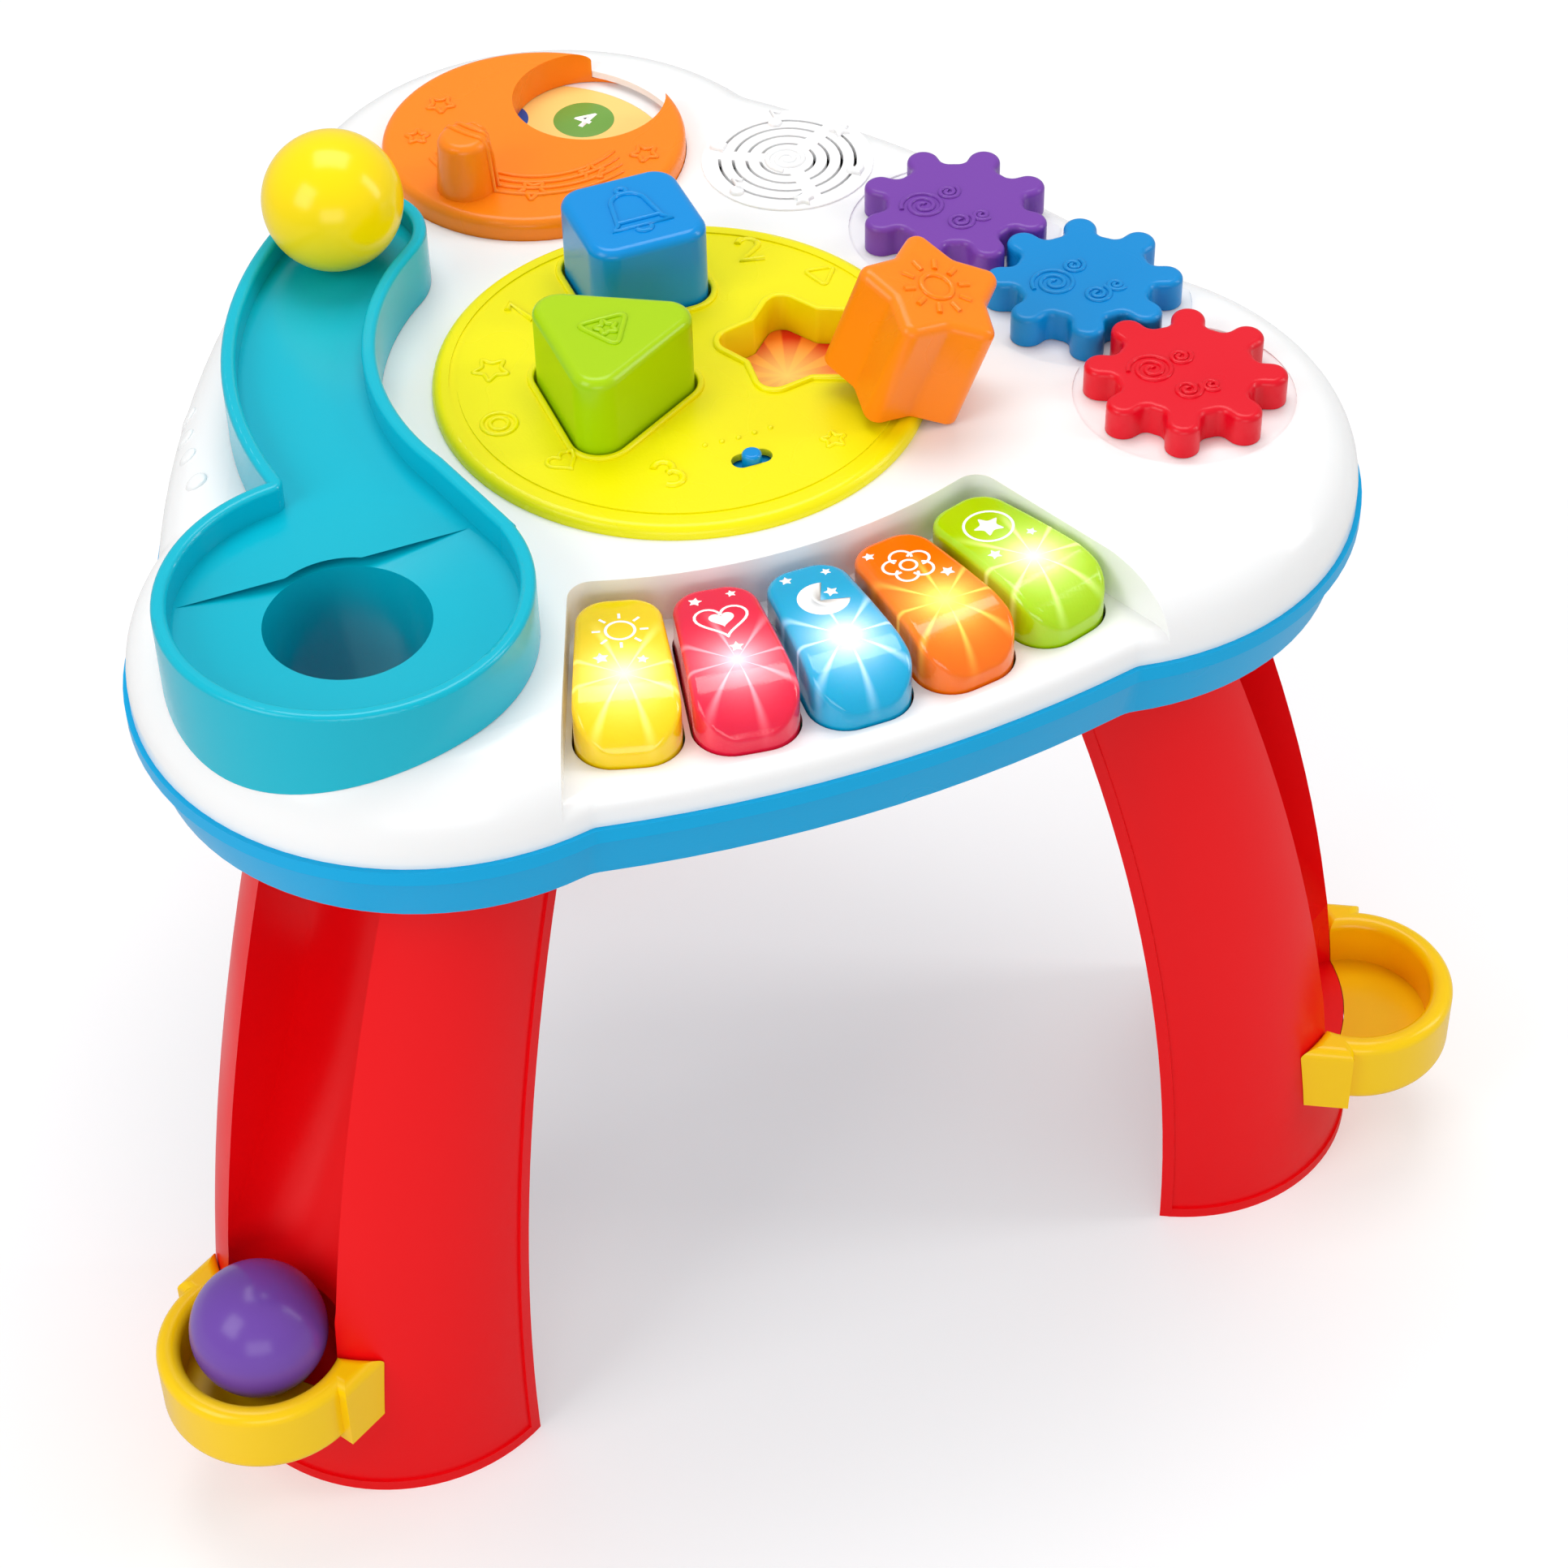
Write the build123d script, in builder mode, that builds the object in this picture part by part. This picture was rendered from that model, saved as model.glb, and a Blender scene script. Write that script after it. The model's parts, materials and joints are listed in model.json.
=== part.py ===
"""Musical activity table for toddlers: three legs, a three-lobed top, a ball ramp with a funnel,
a shape sorter, a moon spinner over a number dial, three meshing gears and five lamp keys.

Frame: +Z up, the floor is z = 0, and the origin is the middle of the overall footprint.
The keyboard faces -Y. The top has its own centre, table_y behind the origin, and every plan
position below is counted from that centre. Lobes point at 90 (dial), 210 (funnel) and 330 degrees.
"""
from build123d import *
import math
import os

os.makedirs("parts", exist_ok=True)

# ---------------------------------------------------------------- driving dimensions, mm and degrees
wall = 3.0                    # moulded wall of the housings
fit_gap = 0.3                 # gap between a piece and its seat, and around moving pieces
shaft_gap = 0.05              # radial gap of a running fit

deck_z = 374.0                # flat deck above the floor
seam_drop = 34.0              # deck down to the seam between the housings
tray_h = 28.0                 # seam down to the underside of the lower housing
lobe_pos = 147.0              # centre of each lobe arc from the table centre
lobe_r = 109.0
side_r = 500.0                # flat arc of each side
side_mid = 191.0              # middle of a side from the table centre
notch_r = 8.0                 # hollow corner between a lobe and a side
edge_r = 28.0                 # rounding of the deck edge
lobe_angles = {"back": 90.0, "left": 210.0, "right": 330.0}

lip_proud = 2.0               # bead of the lower housing stands out this much
lip_h = 6.0
tray_draft = 6.0              # lower edge of the tray stands this far inside the seam

fan_y = 105.0                 # the keys fan out from this point on the centre line
key_pitch = 8.7               # degrees from key to key
bay_back_r = 213.0            # back wall of the keyboard bay, from the fan point
bay_half = 22.0               # half angle of the bay
bay_corner_r = 9.0
terrace_drop = 21.0           # deck down to the terrace under the keys
terrace_edge_r = 6.0

leg_foot_pos = 206.5          # centre of the half-round leg at the floor, from the table centre
leg_lean = 6.2e-4             # the leg leans inwards with the square of the height, per mm
leg_foot_r = 73.0
leg_top_r = 62.0
leg_back = 2.0                # the flanks run on straight behind the half round
leg_wall = 2.4
leg_rib_t = 2.0
leg_screw_pos = 160.0         # two screws hold each leg up against the tray
leg_screw_side = 42.0
leg_ribs_z = (90.0, 180.0, 250.0)
lip_rise = 1.0                # raised border of the legs
lip_width = 5.0

ball_r = 27.0
chute_r = 28.5                # ball channel in the front of each leg
chute_top_pos = 186.0         # ball centre at the top of a leg, from the table centre
cup_pos = 279.0               # middle of each ball cup from the table centre
cup_r = 41.0                  # outside radius of a cup
cup_floor_z = 56.7
cup_inner_r = 31.5
cup_rim_z = 79.0
cup_base_z = 46.0
cup_arm_w = 90.0
cup_wall = 2.5
cup_edge_r = 4.4
cup_base_r = 6.0
tongue_w = 24.0               # hook of a cup that reaches through the leg
tongue_t = 3.0

screw_r = 1.45                # small screws inside the top
screw_len = 6.5
screw_head_r = 2.8
screw_head_h = 1.8
screw_hole_r = 1.8
boss_r = 4.0
big_screw_r = 1.9             # housing and leg screws
big_screw_head_r = 3.6
big_screw_head_h = 2.5
big_boss_r = 6.0
big_screw_len = 20.0
leg_screw_len = 16.0

plate_r = 94.0                # sorter plate
plate_top = 5.0
plate_t = 3.0
plate_rim = 4.0                # foot of the plate around its edge
plate_edge_r = 3.7
plate_groove = (84.5, 87.5)
well_depth = 10.8             # deck down to the floor of the wells
well_gap = 1.1                # around a block in its well
well_wall = 2.0
bead_w = 2.6
bead_h = 1.5
inlay_t = 0.8

square_pos = (4.3, 58.5)
square_size = 47.5
square_corner = 10.0
triangle_pos = (-31.0, -7.0)
triangle_inner_r = 21.5
triangle_corner = 10.0
star_pos = (46.0, -3.0)
star_tip_r = 31.5
star_waist_r = 20.0
star_corner = 5.0
star_turn = 82.5
block_h = 48.0
block_wall = 2.5
block_round = 4.0
bead_round = 1.0
star_lean = 18.5              # the loose block leans on the rim of the sorter plate
star_lean_way = -43.0
star_rest = (70.0, -42.0)
star_rest_z = 9.0
switch_pos = (4.3, -60.0)
switch_travel = 3.8
switch_top = 8.0
switch_slot_len = 15.8
switch_slot_w = 8.0
switch_hole = (46.0, 17.0)    # in the deck under the sorter plate
switch_drop = 0.6             # deck down to the top of the switch body
switch_body_size = (27.0, 13.0, 8.0)

moon_pos = (0.0, 163.5)
moon_r = 61.5
moon_top = 9.0
moon_window_r = 31.5
moon_window_at = (30.0, 16.0)
knob_at = (-36.5, -23.5)
knob_r = 12.0
knob_top = 33.0
moon_wall = 2.5
moon_round = 4.0
flange_r = 64.5
flange_t = 1.9
dial_drop = 5.5               # deck down to the top of the dial plate
dial_t = 2.0
label_r = 56.0
label_t = 0.25

gear_r = 38.0
gear_root_r = 27.0
gear_wall = 2.5
gear_round = 2.5
tooth_root_round = 4.0
tooth_r = 6.5
teeth = 8
gear_gap = 68.3               # distance between two meshing gears
gear_top = 12.3
gear_pos = (160.1, -15.8)     # middle gear
gear_turn = 21.9              # direction of one of its teeth
purple_way = 111.9            # directions of the outer gears from the middle one
red_way = -82.0
pin_r = 8.0
bush_r = 11.5
bush_depth = 14.0
gear_recess = 0.8

ramp_inner_r = 113.0          # curved slide, about the table centre
ramp_outer_r = 170.5
ramp_from = 131.5
ramp_to = 200.0
ramp_rim = 26.0
ramp_lip = 5.5
ramp_high = 18.5              # slide floor above the deck at the far end and at the funnel
ramp_low = 14.0
funnel_pos = (-161.0, -93.0)
funnel_r = 66.6
drop_r = 29.9
ramp_elbow = (-94.6, -84.0)
bowl_low = 10.0               # edge of the hole above the deck
ramp_lip_round = 2.0
ball_on_ramp_at = (-101.0, 102.0)

grille_pos = (91.5, 116.0)
grille_r = 34.8
grille_rise = 0.8
grille_slot = 1.2
grille_rings = (27.5, 22.0, 16.5, 11.0)

key_angles = {"yellow": -17.4, "pink": -8.7, "blue": 0.0, "orange": 8.7, "green": 17.4}
key_back_r = 218.0
key_front_r = 288.0
key_gap = 3.6
key_back_corner = 12.0
key_front_corner = 14.0
key_slot_gap = 0.8            # between a key and the edge of its opening
key_wall = 2.0
key_skirt_drop = 33.0
key_crown = 0.6               # highest line of a key under the deck level
key_crown_r = 264.0
key_tail_drop = 5.0
key_edge_round = 3.0
pivot_r = 208.0
pivot_drop = 30.5
trunnion_r = 2.5
trunnion_len = 3.0
tab_w = 16.0
frame_drop = 44.0             # deck down to the top of the key frame
frame_t = 2.5
dome_r = 5.5
dome_h = 6.5
dome_pos = 252.0
lamp_pos = 236.0
frame_half = 24.9
frame_back_r = 190.0
frame_front_r = 284.0
board_half = 20.5

board_t = 1.6
main_board_z = 345.0
speaker_t = 2.0
speaker_r = 29.0
speaker_deep = 16.0
magnet_r = 15.0
cell_r = 7.2
cell_len = 50.0
cell_pitch = 15.0
pocket_len = 56.0
pocket_w = 46.0
pocket_top = 330.4
pocket_wall = 2.0
door_len = 74.0
door_w = 54.0
door_t = 2.5
door_shift = 4.0
door_screw_pos = 35.0
door_screw_len = 9.0

# ---------------------------------------------------------------- heights and helpers
seam_z = deck_z - seam_drop
tray_z = seam_z - tray_h
terrace_z = deck_z - terrace_drop
tray_floor_z = tray_z + wall

front_reach = side_mid + lip_proud
back_reach = cup_pos + cup_r
table_y = (front_reach - back_reach) / 2


def level(z):
    return Plane(origin=(0, table_y, z))


def upright(x, y):
    return Axis((x, table_y + y, 0), (0, 0, 1))


def polar(radius, angle):
    return (radius * math.cos(math.radians(angle)), radius * math.sin(math.radians(angle)))


def save(piece, name):
    piece.part.label = name
    export_step(piece.part, f"parts/{name}.step")
    print(name, len(piece.part.solids()), round(piece.part.volume / 1000, 2), "cm3")


# ---------------------------------------------------------------- outline of the top
def notch_point(lobe_angle, side_angle, grow):
    """Where a lobe arc and a side arc cross, both grown by the same amount."""
    lobe = Vector(*polar(lobe_pos, lobe_angle))
    side = Vector(*polar(side_mid - side_r, side_angle))
    line = side - lobe
    gap = line.length
    along = ((lobe_r + grow) ** 2 - (side_r + grow) ** 2 + gap ** 2) / (2 * gap)
    across = math.sqrt((lobe_r + grow) ** 2 - along ** 2)
    unit = line.normalized()
    normal = Vector(-unit.Y, unit.X)
    ends = [lobe + unit * along + normal * across, lobe + unit * along - normal * across]
    middle = Vector(*polar(1, (lobe_angle + side_angle) / 2))
    return min(ends, key=lambda end: end.dot(middle))


def outline(grow):
    """Three lobes joined by three flat arcs, with the hollow corners rounded."""
    with BuildSketch() as shape:
        with BuildLine():
            for lobe_angle in lobe_angles.values():
                before = notch_point(lobe_angle, lobe_angle - 60, grow)
                after = notch_point(lobe_angle, lobe_angle + 60, grow)
                beyond = notch_point(lobe_angle + 120, lobe_angle + 60, grow)
                ThreePointArc(before, polar(lobe_pos + lobe_r + grow, lobe_angle), after)
                ThreePointArc(after, polar(side_mid + grow, lobe_angle + 60), beyond)
        make_face()
        fillet(shape.vertices(), notch_r - grow)
    return shape.sketch


def key_bay(grow):
    """Fan-shaped bay that holds the keys, open to the front."""
    reach = 2 * side_mid
    apex_y = fan_y + grow / math.sin(math.radians(bay_half))
    half_width = (reach + apex_y) * math.tan(math.radians(bay_half))
    with BuildSketch() as bay:
        with BuildLine():
            Polyline((0, apex_y), (-half_width, -reach), (half_width, -reach), close=True)
        make_face()
        with Locations((0, fan_y)):
            Circle(bay_back_r - grow, mode=Mode.SUBTRACT)
        fillet(bay.vertices().sort_by(Axis.Y)[-2:], bay_corner_r + grow)
    return bay.sketch


def housing_form(shrink, base_z):
    """Solid form of the upper housing, shrunk evenly for its inside."""
    with BuildPart() as upper:
        with BuildSketch(level(base_z)):
            add(outline(-shrink))
        extrude(amount=deck_z - shrink - base_z)
        fillet(upper.faces().sort_by(Axis.Z)[-1].edges(), edge_r - shrink)
        with BuildSketch(level(base_z)):
            add(key_bay(shrink))
        extrude(amount=deck_z, mode=Mode.SUBTRACT)
    with BuildPart() as terrace:
        with BuildSketch(level(base_z)):
            add(outline(-shrink))
        extrude(amount=terrace_z - shrink - base_z)
        fillet(terrace.faces().sort_by(Axis.Z)[-1].edges(), terrace_edge_r - shrink)
        with BuildSketch(level(base_z)):
            add(key_bay(shrink))
        extrude(amount=deck_z, mode=Mode.INTERSECT)
    with BuildPart() as form:
        add(upper.part)
        add(terrace.part)
    return form.part


# ---------------------------------------------------------------- legs and cups, drawn along +X
def leg_centre(z):
    return leg_foot_pos - leg_lean * z ** 2


def leg_radius(z):
    return leg_foot_r + (leg_top_r - leg_foot_r) * z / tray_z


def leg_loft(grow, back, low, high):
    """Half-round leg, grown by an amount and with its flanks run back."""
    with BuildPart() as form:
        for step in range(5):
            z = low + (high - low) * step / 4
            centre = leg_centre(z)
            radius = leg_radius(z) + grow
            with BuildSketch(Plane.XY.offset(z)):
                with BuildLine():
                    ThreePointArc((centre, -radius), (centre + radius, 0), (centre, radius))
                    Polyline((centre, radius), (centre - back, radius), (centre - back, -radius),
                             (centre, -radius))
                make_face()
        loft()
    return form.part


def edge_strip(low, high):
    """Raised border along both back edges of a leg."""
    with BuildPart() as strip:
        for step in range(5):
            z = low + (high - low) * step / 4
            reach = leg_radius(z) + lip_rise
            middle = leg_centre(z) - leg_back + lip_width / 2
            with BuildSketch(Plane.XY.offset(z)):
                with Locations((middle, 0)):
                    Rectangle(lip_width, 2 * reach)
        loft()
    return strip.part


def ball_path(z):
    """Distance of the ball centre from the table centre as it rolls down a leg."""
    return chute_top_pos + (cup_pos - chute_top_pos) * ((tray_z - z) / (tray_z - rest_z)) ** 2


def chute(grow):
    """Channel for the ball: a round-bottomed groove and the pocket it ends in."""
    reach = chute_r + grow
    top = tray_z + grow + 5
    with BuildPart() as groove:
        with BuildLine() as path:
            Line((chute_top_pos, 0, top), (chute_top_pos, 0, tray_z))
            Spline(*[(ball_path(z), 0, z) for z in (tray_z, 265, 215, 165, 120, rest_z)],
                   tangents=[(0, 0, -1), (1.62, 0, -2.0)])
        with BuildSketch(Plane.XY.offset(top)):
            with Locations((chute_top_pos, 0)):
                Circle(reach)
            with Locations((chute_top_pos + 60, 0)):
                Rectangle(120, 2 * reach)
        sweep(path=path.line)
        with BuildSketch(Plane.XY.offset(cup_floor_z - grow)):
            with Locations((cup_pos, 0)):
                Circle(cup_inner_r + grow)
        extrude(amount=rest_z + chute_r)
    return groove.part


rest_z = cup_floor_z + fit_gap + ball_r
leg_outer = leg_loft(0, leg_back, 0, tray_z)
chute_inner = chute(0)
slot_z = cup_base_z + 2
hook_pos = leg_centre(slot_z) + leg_radius(slot_z) - wall

with BuildPart() as leg_hollow:
    add(leg_loft(-leg_wall, 3 * leg_back, 0, tray_z))
    with BuildSketch(Plane.XY.offset(wall)):
        Rectangle(4 * cup_pos, 4 * leg_foot_r)
    extrude(amount=tray_z - 2 * wall, mode=Mode.INTERSECT)
    for rib_z in leg_ribs_z:
        with BuildSketch(Plane.XY.offset(rib_z)):
            Rectangle(4 * cup_pos, 4 * leg_foot_r)
        extrude(amount=leg_rib_t, mode=Mode.SUBTRACT)
    add(chute(leg_wall), mode=Mode.SUBTRACT)

with BuildPart() as leg_form:
    add(leg_loft(lip_rise, leg_back, 0, lip_width))
    add(edge_strip(0, tray_z))
    add(leg_outer)
    add(leg_hollow.part, mode=Mode.SUBTRACT)
    add(chute_inner, mode=Mode.SUBTRACT)
    with BuildSketch(Plane.XY.offset(slot_z - fit_gap)):
        with Locations((hook_pos, 0)):
            Rectangle(8 * wall, tongue_w + 2 * fit_gap)
    extrude(amount=2 * tongue_t + fit_gap, mode=Mode.SUBTRACT)
    with BuildSketch(Plane.XY.offset(tray_z)):
        with Locations((leg_screw_pos, leg_screw_side), (leg_screw_pos, -leg_screw_side)):
            Circle(big_screw_r + fit_gap)
    extrude(amount=-2 * wall, mode=Mode.SUBTRACT)

with BuildPart() as cup_form:
    with BuildSketch(Plane.XY.offset(cup_base_z)):
        with Locations((cup_pos, 0)):
            Circle(cup_r)
        with Locations((leg_foot_pos + leg_foot_r / 2, 0)):
            Rectangle(leg_foot_r, cup_arm_w)
    extrude(amount=cup_rim_z - cup_base_z)
    with BuildSketch(Plane.XY.offset(cup_floor_z)):
        with Locations((cup_pos, 0)):
            Circle(cup_inner_r)
    extrude(amount=cup_rim_z, mode=Mode.SUBTRACT)
    add(leg_loft(fit_gap, 3 * leg_foot_r, 0, tray_z), mode=Mode.SUBTRACT)
    fillet(cup_form.faces().sort_by(Axis.Z)[-1].edges(), cup_edge_r)
    fillet(cup_form.faces().sort_by(Axis.Z)[0].edges().group_by(SortBy.LENGTH)[-1], cup_base_r)
    with BuildSketch(Plane.XY.offset(cup_base_z + cup_wall)):
        with Locations((cup_pos, 0)):
            Circle(cup_r - cup_wall)
    extrude(amount=cup_floor_z - cup_base_z - 2 * cup_wall, mode=Mode.SUBTRACT)

def placed(piece, angle):
    return piece.moved(Location((0, table_y, 0), (0, 0, angle)))


for side, angle in lobe_angles.items():
    with BuildPart() as leg:
        add(placed(leg_form.part, angle))
    save(leg, f"leg_{side}")
    with BuildPart() as cup:
        add(placed(cup_form.part, angle))
    save(cup, f"cup_{side}")


# ---------------------------------------------------------------- fastener places, x and y
housing_points = [polar(205, lobe + turn) for lobe in lobe_angles.values() for turn in (-22, 22)]
leg_screw_points = []
for lobe in lobe_angles.values():
    for side in (leg_screw_side, -leg_screw_side):
        across = Vector(leg_screw_pos, side).rotate(Axis.Z, lobe)
        leg_screw_points.append((across.X, across.Y))
plate_points = [(-72, 32), (-60, -50), (52, -58), (72, 38)]
dial_points = [(moon_pos[0] + x, moon_pos[1] + y) for x, y in (polar(69, a) for a in (45, 135, 225, 315))]
ramp_points = [polar(141.75, 145), polar(141.75, 185), (-118, -70)]
speaker_points = [(grille_pos[0] + x, grille_pos[1] + y) for x, y in (polar(31, a) for a in (-30, 90, 210))]
frame_points = [(r * math.sin(math.radians(a)), fan_y - r * math.cos(math.radians(a)))
                for r, a in ((197, -12), (197, 12), (262, -23.9), (262, 23.9))]
board_points = [(-46, -25), (-46, 25), (46, -25), (46, 25)]
switch_points = [(switch_pos[0] - 18, switch_pos[1]), (switch_pos[0] + 18, switch_pos[1])]

purple_pos = tuple(Vector(*gear_pos) + Vector(*polar(gear_gap, purple_way)))[:2]
red_pos = tuple(Vector(*gear_pos) + Vector(*polar(gear_gap, red_way)))[:2]
gear_places = {"purple": purple_pos, "blue": gear_pos, "red": red_pos}
funnel_axis_low = tray_floor_z + fit_gap


def fan(angle, z):
    """Level plane at the fan point, x along the middle line of a key."""
    turn = math.radians(angle)
    return Plane(origin=(0, table_y + fan_y, z), x_dir=(math.sin(turn), -math.cos(turn), 0),
                 z_dir=(0, 0, 1))


def fan_side(angle):
    """Upright plane through the middle line of a key, x outwards and y up."""
    turn = math.radians(angle)
    return Plane(origin=(0, table_y + fan_y, 0), x_dir=(math.sin(turn), -math.cos(turn), 0),
                 z_dir=(-math.cos(turn), -math.sin(turn), 0))


def key_plan(grow):
    """Outline of one key, pointing along +X from the fan point."""
    half = math.radians(key_pitch / 2)
    apex = (key_gap / 2 - grow) / math.sin(half)
    reach = 2 * key_front_r
    width = (reach - apex) * math.tan(half)
    with BuildSketch() as plan:
        with BuildLine():
            Polyline((apex, 0), (reach, width), (reach, -width), close=True)
        make_face()
        Circle(key_front_r + grow, mode=Mode.INTERSECT)
        Circle(key_back_r - grow, mode=Mode.SUBTRACT)
        fillet(plan.vertices().sort_by(Axis.X)[:2], key_back_corner + grow)
        fillet(plan.vertices().sort_by(Axis.X)[-2:], key_front_corner + grow)
    return plan.sketch


def square_outline(grow):
    with BuildSketch() as shape:
        RectangleRounded(square_size + 2 * grow, square_size + 2 * grow, square_corner + grow)
    return shape.sketch


def triangle_outline(grow):
    with BuildSketch() as shape:
        RegularPolygon(2 * triangle_inner_r, 3)
        fillet(shape.vertices(), triangle_corner)
        if grow:
            offset(amount=grow)
    return shape.sketch


def star_outline(grow):
    points = []
    for corner in range(10):
        reach = star_tip_r if corner % 2 == 0 else star_waist_r
        points.append(polar(reach, star_turn + 36 * corner))
    with BuildSketch() as shape:
        with BuildLine():
            Polyline(*points, close=True)
        make_face()
        fillet(shape.vertices(), star_corner)
        if grow:
            offset(amount=grow)
    return shape.sketch


block_shapes = {"square": (square_outline, square_pos), "triangle": (triangle_outline, triangle_pos),
                "star": (star_outline, star_pos)}


# ---------------------------------------------------------------- upper housing
outer_form = housing_form(0, seam_z)

with BuildPart() as posts:
    for points, radius, low in ((housing_points, big_boss_r, seam_z),
                                (dial_points, boss_r, deck_z - dial_drop),
                                (speaker_points, boss_r, deck_z - wall - 3),
                                (frame_points, boss_r, deck_z - frame_drop),
                                (gear_places.values(), bush_r, deck_z - bush_depth)):
        with BuildSketch(level(low)):
            with Locations(*points):
                Circle(radius)
        extrude(amount=deck_z - 1 - low)
    with BuildSketch(level(deck_z - dial_drop)):
        with Locations(moon_pos):
            Circle(flange_r + 7.5)
            Circle(flange_r + fit_gap + 0.5, mode=Mode.SUBTRACT)
    extrude(amount=dial_drop - 1)
    add(outer_form, mode=Mode.INTERSECT)

with BuildPart() as top_shell:
    add(outer_form)
    add(housing_form(wall, seam_z - wall), mode=Mode.SUBTRACT)
    add(posts.part)
    with BuildSketch(level(deck_z - edge_r)):
        for shape, place in block_shapes.values():
            with Locations(place):
                add(shape(well_gap + well_wall + fit_gap))
        with Locations(switch_pos):
            Rectangle(*switch_hole)
        with Locations(moon_pos):
            Circle(moon_r + fit_gap)
        with Locations(funnel_pos):
            Circle(drop_r + wall + fit_gap)
        with Locations(*gear_places.values()):
            Circle(pin_r + shaft_gap)
    extrude(amount=edge_r, mode=Mode.SUBTRACT)
    for angle in key_angles.values():
        with BuildSketch(fan(angle, seam_z)):
            add(key_plan(key_slot_gap))
        extrude(amount=edge_r, mode=Mode.SUBTRACT)
    with BuildSketch(level(deck_z - gear_recess)):
        with Locations(*gear_places.values()):
            Circle(gear_r + 4)
    extrude(amount=edge_r, mode=Mode.SUBTRACT)
    with BuildSketch(level(deck_z)):
        with Locations(grille_pos):
            Circle(grille_r)
    extrude(amount=grille_rise)
    with BuildSketch(level(deck_z + grille_rise)):
        with Locations(grille_pos):
            for radius in grille_rings:
                Circle(radius + grille_slot / 2)
                Circle(radius - grille_slot / 2, mode=Mode.SUBTRACT)
            with PolarLocations(grille_r / 2, 3, 30):
                Rectangle(grille_r + 8, 6, mode=Mode.SUBTRACT)
    extrude(amount=-2 * wall, mode=Mode.SUBTRACT)
    for points, radius, low, deep in ((housing_points, big_screw_r + shaft_gap, seam_z, big_screw_len - 6),
                                      (dial_points, screw_r + shaft_gap, deck_z - dial_drop, 4.6),
                                      (speaker_points, screw_r + shaft_gap, deck_z - wall - 3, 4.6),
                                      (frame_points, screw_r + shaft_gap, deck_z - frame_drop, 6),
                                      (plate_points + ramp_points, screw_hole_r, deck_z - wall, 2 * wall)):
        with BuildSketch(level(low)):
            with Locations(*points):
                Circle(radius)
        extrude(amount=deep, mode=Mode.SUBTRACT)
save(top_shell, "top_shell")


# ---------------------------------------------------------------- lower housing
with BuildPart() as base_tray:
    with BuildSketch(level(seam_z - lip_h)):
        add(outline(0))
    with BuildSketch(level(tray_z)):
        add(outline(-tray_draft))
    loft(ruled=True)
    with BuildSketch(level(seam_z - lip_h)):
        add(outline(lip_proud))
    extrude(amount=lip_h)
    with BuildSketch(level(seam_z - lip_h)):
        add(outline(-wall))
    with BuildSketch(level(tray_floor_z)):
        add(outline(-tray_draft - wall))
    loft(ruled=True, mode=Mode.SUBTRACT)
    with BuildSketch(level(seam_z - lip_h)):
        add(outline(-wall))
    extrude(amount=lip_h, mode=Mode.SUBTRACT)
    for points, radius, top in ((housing_points, big_boss_r, seam_z),
                                (leg_screw_points, big_boss_r, tray_z + leg_screw_len + 2),
                                (board_points, boss_r, main_board_z)):
        with BuildSketch(level(tray_z + 1)):
            with Locations(*points):
                Circle(radius)
        extrude(amount=top - tray_z - 1)
    with BuildSketch(level(tray_z)):
        with Locations((door_shift, 0)):
            Rectangle(door_len + 2 * wall + 4, door_w + 2 * wall)
    extrude(amount=2 * wall)
    with BuildSketch(level(tray_z)):
        Rectangle(pocket_len + 2 * pocket_wall, pocket_w + 2 * pocket_wall)
    extrude(amount=pocket_top - tray_z + pocket_wall)
    with BuildSketch(level(tray_z)):
        with Locations((door_screw_pos, 0)):
            Circle(big_boss_r)
    extrude(amount=door_screw_len + 2)
    with BuildSketch(level(tray_z)):
        with Locations((door_shift, 0)):
            Rectangle(door_len + 2 * fit_gap, door_w + 2 * fit_gap)
    extrude(amount=door_t, mode=Mode.SUBTRACT)
    with BuildSketch(level(tray_z)):
        Rectangle(pocket_len, pocket_w)
    extrude(amount=pocket_top - tray_z, mode=Mode.SUBTRACT)
    with BuildSketch(level(tray_z)):
        with Locations(*housing_points):
            Circle(big_screw_head_r + 0.6)
    extrude(amount=seam_z - tray_z - 6, mode=Mode.SUBTRACT)
    with BuildSketch(level(tray_z)):
        with Locations(*housing_points):
            Circle(big_screw_r + fit_gap)
        with Locations(funnel_pos):
            Circle(drop_r)
    extrude(amount=seam_z - tray_z, mode=Mode.SUBTRACT)
    for points, radius, low, high in ((leg_screw_points, big_screw_r + shaft_gap, tray_z, tray_z + leg_screw_len - 2),
                                      (board_points, screw_r + shaft_gap, main_board_z - 6, main_board_z),
                                      ([(door_screw_pos, 0)], screw_r + shaft_gap, tray_z,
                                       tray_z + door_screw_len)):
        with BuildSketch(level(low)):
            with Locations(*points):
                Circle(radius)
        extrude(amount=high - low, mode=Mode.SUBTRACT)
save(base_tray, "base_tray")

with BuildPart() as battery_door:
    with BuildSketch(level(tray_z)):
        with Locations((door_shift, 0)):
            Rectangle(door_len, door_w)
    extrude(amount=door_t)
    with BuildSketch(level(tray_z)):
        with Locations((door_screw_pos, 0)):
            Circle(screw_head_r + fit_gap)
    extrude(amount=door_t - 1.2, mode=Mode.SUBTRACT)
    with BuildSketch(level(tray_z)):
        with Locations((door_screw_pos, 0)):
            Circle(screw_hole_r)
    extrude(amount=door_t, mode=Mode.SUBTRACT)
save(battery_door, "battery_door")

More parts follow.
